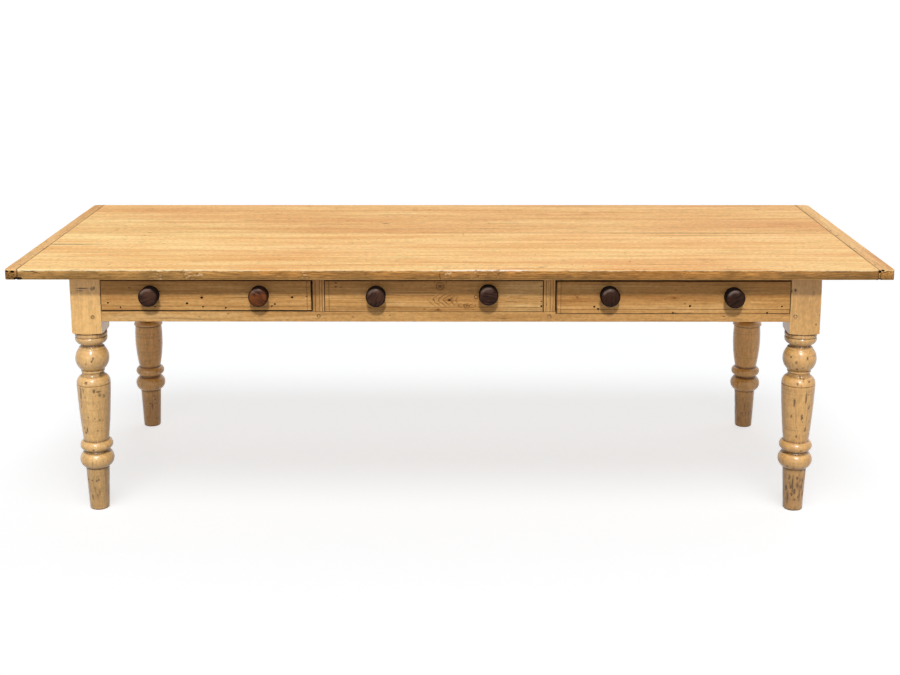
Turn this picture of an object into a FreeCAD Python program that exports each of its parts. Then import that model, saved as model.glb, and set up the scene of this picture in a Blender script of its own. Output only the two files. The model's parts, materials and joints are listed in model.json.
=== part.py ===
"""Long pine farmhouse table with a two-plank top, turned legs and three drawers.

Millimetres. X runs along the table, Y from the drawer side to the back, Z up.
The origin lies on the floor under the middle of the table top.
"""
import FreeCAD
import Part
import os

# Overall sizes
table_length = 2540.0
table_depth = 1020.0
table_height = 762.0

# Two levels nearer than this are the same when edges are picked for rounding
match_distance = 0.03

# Table top: two planks tongued together and held flat by a clamp board across each end
top_thickness = 31.0
seam_behind_middle = 8.0
clamp_left_width = 36.0
clamp_right_width = 46.0
seam_tongue_length = 9.0
end_tongue_length = 16.0
tongue_thickness = 10.0
tongue_end_gap = 0.6
top_arris_radius = 3.0
front_corner_radius = 6.0
back_corner_radius = 17.0

# Nails that hold the clamps to the plank tongues
clamp_nail_radius = 1.8
clamp_nail_head_radius = 3.2
clamp_nail_head_height = 1.6
clamp_nail_length = 27.0
clamp_nail_inset_shares = (0.06, 0.28, 0.47, 0.55, 0.76, 0.94)

# How far the top stands out past the legs
front_overhang = 60.0
rear_overhang = 120.0
left_overhang = 166.5
right_overhang = 188.5

# Leg blocks
leg_block = 89.0
block_below_apron = 38.5
pommel_height = 22.0
pommel_reach_share = 0.3
pommel_rise_share = 0.1
block_arris_radius = 2.0

# Turning of the legs, from the floor up; the foot takes the height that the rest leaves
foot_bottom_radius = 28.9
foot_top_radius = 34.7
foot_edge_chamfer = 2.0
torus_height = 45.0
torus_radius = 50.2
torus_top_radius = 42.0
step_in = 1.0
ankle_height = 9.0
ankle_radius = 34.0
bead_height = 30.0
bead_radius = 48.3
urn_foot_height = 3.0
front_urn_height = 171.0
front_urn_radii = (37.5, 45.1, 49.6)
rear_urn_height = 146.5
rear_urn_radii = (36.4, 46.0, 44.8)
turned_groove_width = 3.0
turned_groove_depth = 3.0
front_shoulder_height = 21.5
rear_shoulder_height = 13.0
shoulder_radius = 49.4
shoulder_top_radius = 40.2
shoulder_reach_share = 0.72
shoulder_rise_share = 0.6
flare_height = 12.0
waist_radius = 32.0
cove_reach_share = 0.3
cove_rise_share = 0.4
waist_bead_height = 8.5
waist_bead_radius = 34.6
ball_bottom_radius = 33.4
ball_height = 65.5
ball_radius = 49.4
ball_top_radius = 38.0
ball_fillet_height = 4.0
ball_cove_height = 5.5
neck_height = 4.5
neck_radius = 31.5
half_round_height = 21.5
half_round_radius = 46.4
half_round_reach_share = 0.8
half_round_rise_share = 0.3
collar_groove_height = 2.5
collar_groove_radius = 43.0
collar_radius = 47.2
collar_edge_radius = 46.0
front_collar_height = 11.0
rear_collar_height = 44.0

# Aprons and rails
apron_height = 140.0
apron_thickness = 25.0
apron_setback = 3.0
lower_rail_height = 31.0
top_rail_height = 15.0
rail_width = 60.0
rail_setback = 1.5
right_rail_drop = 7.0
tenon_length = 36.0
tenon_thickness = 10.0
tenon_shoulder = 10.0
rail_tenon_thickness = 12.0
rail_tenon_inset = 14.0
mortise_end_gap = 0.5
top_rail_tail_length = 28.0
top_rail_tail_root = 30.0
top_rail_tail_tip = 40.0

# Uprights between the drawers
divider_width = 34.0
divider_depth = 46.0
divider_tenon_length = 24.0
divider_top_tenon_length = 9.0
divider_tenon_width = 14.0
divider_tenon_depth = 26.0
left_opening_width = 618.0
right_opening_width = 683.5

# Draw-bore pegs
peg_radius = 4.5
peg_length = 44.0
peg_proud = 0.5
left_peg_inset = 24.0
right_peg_inset = 15.5
apron_peg_inset = 20.0
apron_peg_edge = 34.0

# Drawer runners, guides and kickers
runner_thickness = 20.0
runner_reach = 25.0
guide_height = 20.0
guide_width = 30.0
kicker_thickness = 15.0
stub_length = 10.0
stub_shoulder = 5.0
runner_stub_thickness = 9.0
kicker_stub_thickness = 6.0
stop_length = 50.0
stop_width = 24.0
stop_height = 6.0
stop_inset = 120.0
slide_clearance = 0.3

# Blocks and screws that hold the top down
glue_block_length = 90.0
glue_block_side = 30.0
glue_block_nose = 6.0
glue_block_count = 6
screw_shank_radius = 2.3
screw_head_radius = 4.6
screw_head_height = 3.0
screw_length = 32.0
rail_screw_count = 5
kicker_screw_shares = (0.3, 0.8)

# Drawers
drawer_length = 700.0
drawer_front_thickness = 22.0
drawer_front_recess = 0.0
drawer_side_thickness = 12.0
drawer_side_height = 89.5
drawer_back_thickness = 12.0
drawer_back_drop = 6.0
drawer_panel_thickness = 8.0
drawer_panel_rise = 8.0
drawer_groove_depth = 6.0
drawer_lap = 7.0
drawer_arris_radius = 1.0
tail_count = 3
tail_gap = 9.0
tail_flare = 3.0
quirk_width = 1.6
quirk_depth = 1.4
bead_strip_width = 12.0
panel_nail_radius = 1.2
panel_nail_length = 24.0
panel_nail_count = 5

# Gaps around each drawer front, as the worn drawers sit now
left_drawer_gaps = {"left": 1.0, "right": 3.5, "bottom": 3.2, "top": 2.0}
middle_drawer_gaps = {"left": 1.0, "right": 1.0, "bottom": 0.6, "top": 1.6}
right_drawer_gaps = {"left": 3.5, "right": 1.2, "bottom": 0.6, "top": 3.8}

# Turned knobs
knob_base_radius = 28.0
knob_base_height = 5.0
knob_waist_radius = 16.5
knob_waist_height = 15.0
knob_head_radius = 29.0
knob_head_height = 9.0
knob_face_height = 6.5
knob_face_crown = 3.0
knob_centre_radius = 2.5
knob_spigot_radius = 7.0
knob_base_edge_share = 0.45
knob_base_round_shares = (0.15, 0.85)
knob_base_inset_share = 0.6
knob_waist_bend_share = 0.45
knob_neck_width_share = 0.45
knob_head_round_shares = (0.1, 0.55)
knob_face_round_shares = (0.3, 0.65)
knob_crown_round_share = 0.75
knob_above_opening_middle = 3.0
left_knob_spacing = 318.0
middle_knob_spacing = 326.0
right_knob_spacing = 360.0
knob_pair_shift = -5.0
raised_knob_lift = 4.5
lowered_knob_drop = 4.0

# Levels and faces worked out from the sizes above
top_underside = table_height - top_thickness
apron_bottom = top_underside - apron_height
block_bottom = apron_bottom - block_below_apron
opening_bottom = apron_bottom + lower_rail_height
opening_top = top_underside - top_rail_height
leg_half = leg_block / 2
leg_x_left = -table_length / 2 + left_overhang + leg_half
leg_x_right = table_length / 2 - right_overhang - leg_half
leg_y_front = -table_depth / 2 + front_overhang + leg_half
leg_y_rear = table_depth / 2 - rear_overhang - leg_half
inner_left = leg_x_left + leg_half
inner_right = leg_x_right - leg_half
front_face = leg_y_front - leg_half
front_leg_back = leg_y_front + leg_half
rear_leg_front = leg_y_rear - leg_half
rail_front = front_face + rail_setback
rail_back = rail_front + rail_width
rear_apron_outer = leg_y_rear + leg_half - apron_setback
rear_apron_inner = rear_apron_outer - apron_thickness
left_apron_outer = leg_x_left - leg_half + apron_setback
left_apron_inner = left_apron_outer + apron_thickness
right_apron_outer = leg_x_right + leg_half - apron_setback
right_apron_inner = right_apron_outer - apron_thickness
divider_left_x = inner_left + left_opening_width + divider_width / 2
divider_right_x = inner_right - right_opening_width - divider_width / 2
seam_y = seam_behind_middle
tongue_bottom = table_height - (top_thickness + tongue_thickness) / 2
tongue_top = tongue_bottom + tongue_thickness
plank_left = -table_length / 2 + clamp_left_width
plank_right = table_length / 2 - clamp_right_width


def box(x0, x1, y0, y1, z0, z1):
    """A block between two corners, whichever way round they are given."""
    low = FreeCAD.Vector(min(x0, x1), min(y0, y1), min(z0, z1))
    return Part.makeBox(abs(x1 - x0), abs(y1 - y0), abs(z1 - z0), low)


def rod(radius, start, direction, length):
    """A round rod from a point along a direction."""
    return Part.makeCylinder(radius, length, FreeCAD.Vector(*start), FreeCAD.Vector(*direction))


def joined(shapes):
    """One clean solid from pieces that share faces."""
    first, rest = shapes[0], shapes[1:]
    if not rest:
        return first
    return first.fuse(rest).removeSplitter()


def turned(outline):
    """Revolve a half outline round Z.

    Each step of the outline is (radius, height) for a straight run, or
    (mid radius, mid height, end radius, end height) for an arc.
    """
    edges = []
    here = FreeCAD.Vector(outline[0][0], 0, outline[0][1])
    start = here
    for step in outline[1:]:
        there = FreeCAD.Vector(step[-2], 0, step[-1])
        if len(step) == 4:
            middle = FreeCAD.Vector(step[0], 0, step[1])
            edges.append(Part.Arc(here, middle, there).toShape())
        else:
            edges.append(Part.LineSegment(here, there).toShape())
        here = there
    edges.append(Part.LineSegment(here, start).toShape())
    face = Part.Face(Part.Wire(edges))
    return face.revolve(FreeCAD.Vector(0, 0, 0), FreeCAD.Vector(0, 0, 1), 360)


def rounded(shape, radius, wanted):
    """Round the edges whose middle point passes the test."""
    edges = []
    for edge in shape.Edges:
        middle = edge.valueAt((edge.FirstParameter + edge.LastParameter) / 2)
        if wanted(middle, edge):
            edges.append(edge)
    return shape.makeFillet(radius, edges)


def near(value, target):
    return abs(value - target) < match_distance


def front_plank():
    """Front plank, with a tongue at its back edge and at both ends."""
    y0 = -table_depth / 2
    board = box(plank_left, plank_right, y0, seam_y, top_underside, table_height)
    board = rounded(
        board, top_arris_radius,
        lambda p, e: near(p.y, y0) and (near(p.z, top_underside) or near(p.z, table_height)))
    seam_tongue = box(plank_left, plank_right, seam_y, seam_y + seam_tongue_length,
                      tongue_bottom, tongue_top)
    ends = end_tongues(y0 + top_arris_radius, seam_y)
    return joined([board, seam_tongue] + ends)


def rear_plank():
    """Rear plank, grooved at its front edge for the other plank's tongue."""
    y1 = table_depth / 2
    board = box(plank_left, plank_right, seam_y, y1, top_underside, table_height)
    board = rounded(
        board, top_arris_radius,
        lambda p, e: near(p.y, y1) and (near(p.z, top_underside) or near(p.z, table_height)))
    groove_end = seam_y + seam_tongue_length + tongue_end_gap
    groove = box(plank_left, plank_right, seam_y, groove_end, tongue_bottom, tongue_top)
    ends = end_tongues(groove_end, y1 - top_arris_radius)
    return joined([board.cut(groove)] + ends)


def end_tongues(y0, y1):
    """The two tongues of a plank that enter the clamps."""
    left = box(plank_left - end_tongue_length, plank_left, y0, y1, tongue_bottom, tongue_top)
    right = box(plank_right, plank_right + end_tongue_length, y0, y1, tongue_bottom, tongue_top)
    return [left, right]


def clamp(side):
    """Clamp board across one end: side is -1 on the left, 1 on the right."""
    inner = plank_right if side > 0 else plank_left
    outer = side * table_length / 2
    y0 = -table_depth / 2
    y1 = table_depth / 2
    board = box(inner, outer, y0, y1, top_underside, table_height)
    board = rounded(
        board, back_corner_radius,
        lambda p, e: near(p.x, outer) and near(p.y, y1) and e.Length < top_thickness * 2)
    board = rounded(
        board, front_corner_radius,
        lambda p, e: near(p.x, outer) and near(p.y, y0) and e.Length < top_thickness * 2)
    board = rounded(
        board, top_arris_radius,
        lambda p, e: not near(p.x, inner)
        and (near(p.z, top_underside) or near(p.z, table_height)))
    groove_end = inner + side * (end_tongue_length + tongue_end_gap)
    groove = box(inner, groove_end, y0 + top_arris_radius, y1 - top_arris_radius,
                 tongue_bottom, tongue_top)
    return board.cut(groove)


def clamp_nail(x, y):
    """Cut nail driven down through clamp and tongue, its head flush with the top."""
    shank = rod(clamp_nail_radius, (x, y, table_height - clamp_nail_length), (0, 0, 1),
                clamp_nail_length)
    head = rod(clamp_nail_head_radius, (x, y, table_height - clamp_nail_head_height), (0, 0, 1),
               clamp_nail_head_height)
    return joined([shank, head])


def clamp_nails():
    """All the clamp nails, on the middle line of the tongues."""
    nails = []
    for x in (plank_left - end_tongue_length / 2, plank_right + end_tongue_length / 2):
        for share in clamp_nail_inset_shares:
            nails.append(clamp_nail(x, -table_depth / 2 + share * table_depth))
    return nails


def cove(low_radius, low_level, high_radius, high_level):
    """A hollow arc that narrows as it rises, as a step of an outline."""
    middle_radius = high_radius + (low_radius - high_radius) * cove_reach_share
    middle_level = low_level + (high_level - low_level) * cove_rise_share
    return (middle_radius, middle_level, high_radius, high_level)


def leg_outline(urn_height, urn_radii, shoulder_height, collar_height):
    """Half outline of the turning, from the floor to the underside of the block."""
    lower_height = torus_height + ankle_height + bead_height + urn_foot_height + urn_height
    waist_height = turned_groove_width + shoulder_height + flare_height + waist_bead_height
    ball_and_neck_height = ball_height + ball_fillet_height + ball_cove_height + neck_height
    upper_height = half_round_height + collar_groove_height * 2 + collar_height
    z = block_bottom - lower_height - waist_height - ball_and_neck_height - upper_height
    outline = [(0, 0), (foot_bottom_radius - foot_edge_chamfer, 0)]
    outline.append((foot_bottom_radius, foot_edge_chamfer))
    outline.append((foot_top_radius, z))
    outline.append((torus_radius, z + torus_height / 2, torus_top_radius, z + torus_height))
    z += torus_height
    outline.append((torus_top_radius - step_in, z))
    outline.append(cove(torus_top_radius - step_in, z, ankle_radius, z + ankle_height))
    z += ankle_height
    outline.append((bead_radius, z + bead_height / 2, urn_radii[0], z + bead_height))
    z += bead_height + urn_foot_height
    outline.append((urn_radii[0], z))
    outline.append((urn_radii[1], z + urn_height / 2, urn_radii[2], z + urn_height))
    z += urn_height
    outline.append((urn_radii[2] - turned_groove_depth, z + turned_groove_width / 2))
    z += turned_groove_width
    outline.append((shoulder_radius, z))
    shoulder_width = shoulder_radius - shoulder_top_radius
    outline.append((shoulder_top_radius + shoulder_width * shoulder_reach_share,
                    z + shoulder_height * shoulder_rise_share,
                    shoulder_top_radius, z + shoulder_height))
    z += shoulder_height
    outline.append((shoulder_top_radius - step_in, z))
    outline.append(cove(shoulder_top_radius - step_in, z, waist_radius, z + flare_height))
    z += flare_height
    outline.append((waist_bead_radius, z + waist_bead_height / 2,
                    ball_bottom_radius, z + waist_bead_height))
    z += waist_bead_height
    outline.append((ball_radius, z + ball_height / 2, ball_top_radius, z + ball_height))
    z += ball_height
    outline.append((ball_top_radius - step_in, z))
    z += ball_fillet_height
    outline.append((ball_top_radius - step_in, z))
    outline.append(cove(ball_top_radius - step_in, z, neck_radius, z + ball_cove_height))
    z += ball_cove_height + neck_height
    outline.append((neck_radius, z))
    round_width = half_round_radius - neck_radius
    outline.append((neck_radius + round_width * half_round_reach_share,
                    z + half_round_height * half_round_rise_share,
                    half_round_radius, z + half_round_height))
    z += half_round_height
    outline.append((collar_groove_radius, z + collar_groove_height / 2))
    z += collar_groove_height
    outline.append((collar_edge_radius, z))
    outline.append((collar_radius, z + collar_height / 2, collar_edge_radius, z + collar_height))
    outline.append((collar_groove_radius, block_bottom - collar_groove_height / 2))
    outline.append((collar_groove_radius, block_bottom))
    outline.append((0, block_bottom))
    return outline


def leg_block_solid():
    """Square head of a leg, its lower corners rounded off where the turning starts."""
    square = box(-leg_half, leg_half, -leg_half, leg_half, block_bottom, top_underside)
    square = rounded(
        square, block_arris_radius,
        lambda p, e: near(abs(p.x), leg_half) and near(abs(p.y), leg_half))
    reach = leg_block - collar_radius
    pommel = turned([
        (0, block_bottom),
        (collar_radius, block_bottom),
        (collar_radius + reach * pommel_reach_share, block_bottom + pommel_height * pommel_rise_share,
         leg_block, block_bottom + pommel_height),
        (leg_block, top_underside),
        (0, top_underside)])
    return square.common(pommel)


def leg(side, end, cutters):
    """A whole leg at its corner: side is -1 left or 1 right, end is -1 front or 1 rear."""
    if end < 0:
        outline = leg_outline(front_urn_height, front_urn_radii,
                              front_shoulder_height, front_collar_height)
        y = leg_y_front
    else:
        outline = leg_outline(rear_urn_height, rear_urn_radii,
                              rear_shoulder_height, rear_collar_height)
        y = leg_y_rear
    x = leg_x_left if side < 0 else leg_x_right
    shape = joined([turned(outline), leg_block_solid()])
    shape.translate(FreeCAD.Vector(x, y, 0))
    return shape.cut(cutters)


def rail_tenon(side, gap):
    """Tenon of the lower rail in a front leg, made longer by a gap for its mortise."""
    inner = inner_left if side < 0 else inner_right
    y0 = front_face + rail_tenon_inset
    return box(inner, inner + side * (tenon_length + gap), y0, y0 + rail_tenon_thickness,
               apron_bottom, opening_bottom - right_rail_drop)


def top_rail_tail(side):
    """Dovetailed end of the top rail, let into the top of a front leg."""
    inner = inner_left if side < 0 else inner_right
    y = rail_front + rail_width / 2
    corners = [
        FreeCAD.Vector(inner, y - top_rail_tail_root / 2, opening_top),
        FreeCAD.Vector(inner + side * top_rail_tail_length, y - top_rail_tail_tip / 2, opening_top),
        FreeCAD.Vector(inner + side * top_rail_tail_length, y + top_rail_tail_tip / 2, opening_top),
        FreeCAD.Vector(inner, y + top_rail_tail_root / 2, opening_top)]
    face = Part.Face(Part.makePolygon(corners + corners[:1]))
    return face.extrude(FreeCAD.Vector(0, 0, top_rail_height))


def rear_apron_tenon(side, gap):
    """Tenon of the rear apron in a rear leg."""
    inner = inner_left if side < 0 else inner_right
    y0 = rear_apron_inner + (apron_thickness - tenon_thickness) / 2
    return box(inner, inner + side * (tenon_length + gap), y0, y0 + tenon_thickness,
               apron_bottom + tenon_shoulder, top_underside - tenon_shoulder)


def end_apron_tenon(side, end, gap):
    """Tenon of an end apron in a front or rear leg."""
    outer = left_apron_outer if side < 0 else right_apron_outer
    x0 = outer - side * (apron_thickness - tenon_thickness) / 2
    shoulder = front_leg_back if end < 0 else rear_leg_front
    return box(x0, x0 - side * tenon_thickness, shoulder, shoulder + end * (tenon_length + gap),
               apron_bottom + tenon_shoulder, top_underside - tenon_shoulder)


def rail_peg(side):
    """Peg from the front face of a front leg through the lower rail's tenon."""
    x = inner_left - left_peg_inset if side < 0 else inner_right + right_peg_inset
    z = apron_bottom + (lower_rail_height - right_rail_drop) / 2
    return rod(peg_radius, (x, front_face - peg_proud, z), (0, 1, 0), peg_length)


def divider_peg(x):
    """Peg from the front of the lower rail through a divider's tenon."""
    z = apron_bottom + lower_rail_height / 2
    return rod(peg_radius, (x, rail_front - peg_proud, z), (0, 1, 0), peg_length)


def rear_apron_pegs(side):
    """Two pegs from the back of a rear leg through the rear apron's tenon."""
    x = inner_left - apron_peg_inset if side < 0 else inner_right + apron_peg_inset
    y = leg_y_rear + leg_half + peg_proud
    levels = (apron_bottom + apron_peg_edge, top_underside - apron_peg_edge)
    return [rod(peg_radius, (x, y, z), (0, -1, 0), peg_length) for z in levels]


def end_apron_pegs(side, end):
    """Two pegs from the outer face of a leg through an end apron's tenon."""
    x = leg_x_left - leg_half - peg_proud if side < 0 else leg_x_right + leg_half + peg_proud
    y = (front_leg_back if end < 0 else rear_leg_front) + end * apron_peg_inset
    levels = (apron_bottom + apron_peg_edge, top_underside - apron_peg_edge)
    return [rod(peg_radius, (x, y, z), (-side, 0, 0), peg_length) for z in levels]


def divider_tenon(x, below):
    """Square tenon of a divider, under it or on top of it."""
    y0 = rail_front + (divider_depth - divider_tenon_depth) / 2
    if below:
        z0 = opening_bottom - divider_tenon_length
        z1 = opening_bottom
    else:
        z0 = opening_top
        z1 = opening_top + divider_top_tenon_length
    return box(x - divider_tenon_width / 2, x + divider_tenon_width / 2,
               y0, y0 + divider_tenon_depth, z0, z1)


def divider(x, pegs):
    """Upright between two drawers, tenoned into both front rails."""
    body = box(x - divider_width / 2, x + divider_width / 2,
               rail_front, rail_front + divider_depth, opening_bottom, opening_top)
    return joined([body, divider_tenon(x, True), divider_tenon(x, False)]).cut(pegs)


def runner_stub(x0, x1, front, kicker):
    """Stub tenon at the front or rear end of a runner or kicker, on the span given."""
    thickness = kicker_stub_thickness if kicker else runner_stub_thickness
    if kicker:
        z0 = top_underside - (kicker_thickness + thickness) / 2
    else:
        z0 = opening_bottom - (runner_thickness + thickness) / 2
    if front:
        y0, y1 = rail_back - stub_length, rail_back
    else:
        y0, y1 = rear_apron_inner, rear_apron_inner + stub_length
    return box(x0 + stub_shoulder, x1 - stub_shoulder, y0, y1, z0, z0 + thickness)


def stub_spans():
    """The X spans of the four runner lines that reach both rail and rear apron."""
    return {
        "left_end": (inner_left, inner_left + runner_reach),
        "left_middle": (divider_left_x - divider_width / 2 - runner_reach,
                        divider_left_x + divider_width / 2 + runner_reach),
        "right_middle": (divider_right_x - divider_width / 2 - runner_reach,
                         divider_right_x + divider_width / 2 + runner_reach),
        "right_end": (inner_right - runner_reach, inner_right)}


def runner_board(place, kicker):
    """Runner under the drawer sides, or kicker over them, from front rail to rear apron."""
    x0, x1 = stub_spans()[place]
    if kicker:
        z0, z1 = top_underside - kicker_thickness, top_underside
    else:
        z0, z1 = opening_bottom - runner_thickness, opening_bottom
    boards = [box(x0, x1, rail_back, rear_apron_inner, z0, z1),
              runner_stub(x0, x1, True, kicker),
              runner_stub(x0, x1, False, kicker)]
    if place == "left_end":
        boards.append(box(left_apron_inner, x0, front_leg_back, rear_leg_front, z0, z1))
    if place == "right_end":
        boards.append(box(x1, right_apron_inner, front_leg_back, rear_leg_front, z0, z1))
    return joined(boards)


def guide(place):
    """Strip on a runner that keeps the drawer sides in line."""
    z0, z1 = opening_bottom, opening_bottom + guide_height
    if place == "left_end":
        return box(inner_left - guide_width, inner_left, front_leg_back, rear_leg_front, z0, z1)
    if place == "right_end":
        return box(inner_right, inner_right + guide_width, front_leg_back, rear_leg_front, z0, z1)
    x = divider_left_x if place == "left_middle" else divider_right_x
    return box(x - divider_width / 2, x + divider_width / 2,
               rail_front + divider_depth, rear_apron_inner, z0, z1)


def stubs(front, kicker):
    """All the stub tenons that enter the front rail or the rear apron."""
    found = []
    for x0, x1 in stub_spans().values():
        found.append(runner_stub(x0, x1, front, kicker))
    return found


def lower_rail(pegs):
    """Rail under the drawers, worn lower under the right drawer."""
    body = box(inner_left, inner_right, rail_front, rail_back, apron_bottom, opening_bottom)
    drop = box(divider_right_x + divider_width / 2, inner_right, rail_front, rail_back,
               opening_bottom - right_rail_drop, opening_bottom)
    body = joined([body.cut(drop), rail_tenon(-1, 0), rail_tenon(1, 0)])
    cuts = [divider_tenon(divider_left_x, True), divider_tenon(divider_right_x, True)]
    return body.cut(cuts + stubs(True, False) + pegs)


def top_rail(screws):
    """Thin rail over the drawers, dovetailed into the tops of the front legs."""
    body = box(inner_left, inner_right, rail_front, rail_back, opening_top, top_underside)
    body = joined([body, top_rail_tail(-1), top_rail_tail(1)])
    cuts = [divider_tenon(divider_left_x, False), divider_tenon(divider_right_x, False)]
    return body.cut(cuts + stubs(True, True) + screws)


def rear_apron(pegs):
    """Board along the back between the rear legs."""
    body = box(inner_left, inner_right, rear_apron_inner, rear_apron_outer,
               apron_bottom, top_underside)
    body = joined([body, rear_apron_tenon(-1, 0), rear_apron_tenon(1, 0)])
    return body.cut(stubs(False, False) + stubs(False, True) + pegs)


def end_apron(side, pegs):
    """Board across one end between the front and rear legs."""
    outer = left_apron_outer if side < 0 else right_apron_outer
    body = box(outer, outer - side * apron_thickness, front_leg_back, rear_leg_front,
               apron_bottom, top_underside)
    body = joined([body, end_apron_tenon(side, -1, 0), end_apron_tenon(side, 1, 0)])
    return body.cut(pegs)


def glue_blocks():
    """Blocks rubbed into the angle between the rear apron and the top."""
    blocks = []
    pitch = (inner_right - inner_left) / glue_block_count
    spans = list(stub_spans().values())
    for index in range(glue_block_count):
        x = inner_left + pitch * (index + 0.5)
        x0, x1 = x - glue_block_length / 2, x + glue_block_length / 2
        for low, high in spans:
            if x0 < high and x1 > low:
                shift = high - x0 if x > (low + high) / 2 else low - x1
                x0, x1 = x0 + shift, x1 + shift
        section = [
            FreeCAD.Vector(x0, rear_apron_inner, top_underside),
            FreeCAD.Vector(x0, rear_apron_inner - glue_block_side, top_underside),
            FreeCAD.Vector(x0, rear_apron_inner - glue_block_side, top_underside - glue_block_nose),
            FreeCAD.Vector(x0, rear_apron_inner - glue_block_nose, top_underside - glue_block_side),
            FreeCAD.Vector(x0, rear_apron_inner, top_underside - glue_block_side)]
        face = Part.Face(Part.makePolygon(section + section[:1]))
        blocks.append(face.extrude(FreeCAD.Vector(x1 - x0, 0, 0)))
    return blocks


def screw(x, y, head_level):
    """Countersunk screw up into the underside of the top."""
    head = Part.makeCone(screw_head_radius, screw_shank_radius, screw_head_height,
                         FreeCAD.Vector(x, y, head_level), FreeCAD.Vector(0, 0, 1))
    shank = rod(screw_shank_radius, (x, y, head_level + screw_head_height), (0, 0, 1),
                screw_length - screw_head_height)
    return joined([head, shank])


def rail_screws():
    """Screws through the top rail."""
    found = []
    pitch = (inner_right - inner_left) / rail_screw_count
    y = rail_back - stub_length - screw_head_radius * 2
    for index in range(rail_screw_count):
        found.append(screw(inner_left + pitch * (index + 0.5), y, opening_top))
    return found


def kicker_screws(place):
    """Screws through one kicker."""
    x0, x1 = stub_spans()[place]
    found = []
    for share in kicker_screw_shares:
        y = rail_back + share * (rear_apron_inner - rail_back)
        found.append(screw((x0 + x1) / 2, y, top_underside - kicker_thickness))
    return found


def drawer_stops():
    """Blocks glued on the lower rail that the drawer fronts close against."""
    blocks = []
    y0 = front_face + drawer_front_recess + drawer_front_thickness + slide_clearance
    for x0, x1, floor in drawer_openings():
        for x in (x0 + stop_inset, x1 - stop_inset - stop_length):
            blocks.append(box(x, x + stop_length, y0, y0 + stop_width,
                              floor, opening_bottom + stop_height))
    return blocks


def drawer_openings():
    """Left and right edge and floor of each drawer opening, from the left."""
    half = divider_width / 2
    return [
        (inner_left, divider_left_x - half, opening_bottom),
        (divider_left_x + half, divider_right_x - half, opening_bottom),
        (divider_right_x + half, inner_right, opening_bottom - right_rail_drop)]


def tails(x0, x1, root, tip, low, high):
    """Dovetails spread over a height, narrow at the root and wide at the tip."""
    pitch = (high - low) / tail_count
    shapes = []
    for index in range(tail_count):
        middle = low + pitch * (index + 0.5)
        wide = (pitch - tail_gap / 2) / 2
        narrow = wide - tail_flare
        corners = [
            FreeCAD.Vector(x0, root, middle - narrow),
            FreeCAD.Vector(x0, tip, middle - wide),
            FreeCAD.Vector(x0, tip, middle + wide),
            FreeCAD.Vector(x0, root, middle + narrow)]
        face = Part.Face(Part.makePolygon(corners + corners[:1]))
        shapes.append(face.extrude(FreeCAD.Vector(x1 - x0, 0, 0)))
    return shapes


def quirks(x0, x1, z0, z1, y, sides):
    """Scratched lines that set off a bead along some edges of a drawer front."""
    lines = []
    for side in sides:
        if side == "bottom":
            z = z0 + bead_strip_width
            lines.append(box(x0, x1, y, y + quirk_depth, z, z + quirk_width))
        if side == "left":
            x = x0 + bead_strip_width
            lines.append(box(x, x + quirk_width, y, y + quirk_depth, z0, z1))
        if side == "right":
            x = x1 - bead_strip_width
            lines.append(box(x - quirk_width, x, y, y + quirk_depth, z0, z1))
    return lines


def knob(x, z):
    """Turned knob with a base flange, a waist and a crowned face; its spigot fills the front."""
    level = knob_base_height
    outline = [
        (0, -drawer_front_thickness),
        (knob_spigot_radius, -drawer_front_thickness),
        (knob_spigot_radius, 0),
        (knob_base_radius, 0),
        (knob_base_radius, level * knob_base_edge_share),
        (knob_base_radius - level * knob_base_round_shares[0], level * knob_base_round_shares[1],
         knob_base_radius - level * knob_base_inset_share, level)]
    neck_width = (knob_head_radius - knob_waist_radius) * knob_neck_width_share
    outline.append((knob_waist_radius, level + knob_waist_height * knob_waist_bend_share,
                    knob_waist_radius + neck_width, level + knob_waist_height))
    level += knob_waist_height
    outline.append((knob_head_radius - knob_head_height * knob_head_round_shares[0],
                    level + knob_head_height * knob_head_round_shares[1],
                    knob_head_radius, level + knob_head_height))
    level += knob_head_height
    outline.append((knob_head_radius - knob_face_height * knob_face_round_shares[0],
                    level + knob_face_height * knob_face_round_shares[1],
                    knob_head_radius - knob_face_height, level + knob_face_height))
    level += knob_face_height
    outline.append(((knob_head_radius - knob_face_height) / 2,
                    level + knob_face_crown * knob_crown_round_share,
                    knob_centre_radius, level + knob_face_crown))
    outline.append((0, level + knob_face_crown))
    shape = turned(outline)
    shape.rotate(FreeCAD.Vector(0, 0, 0), FreeCAD.Vector(1, 0, 0), 90)
    shape.translate(FreeCAD.Vector(x, front_face + drawer_front_recess, z))
    return shape


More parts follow.
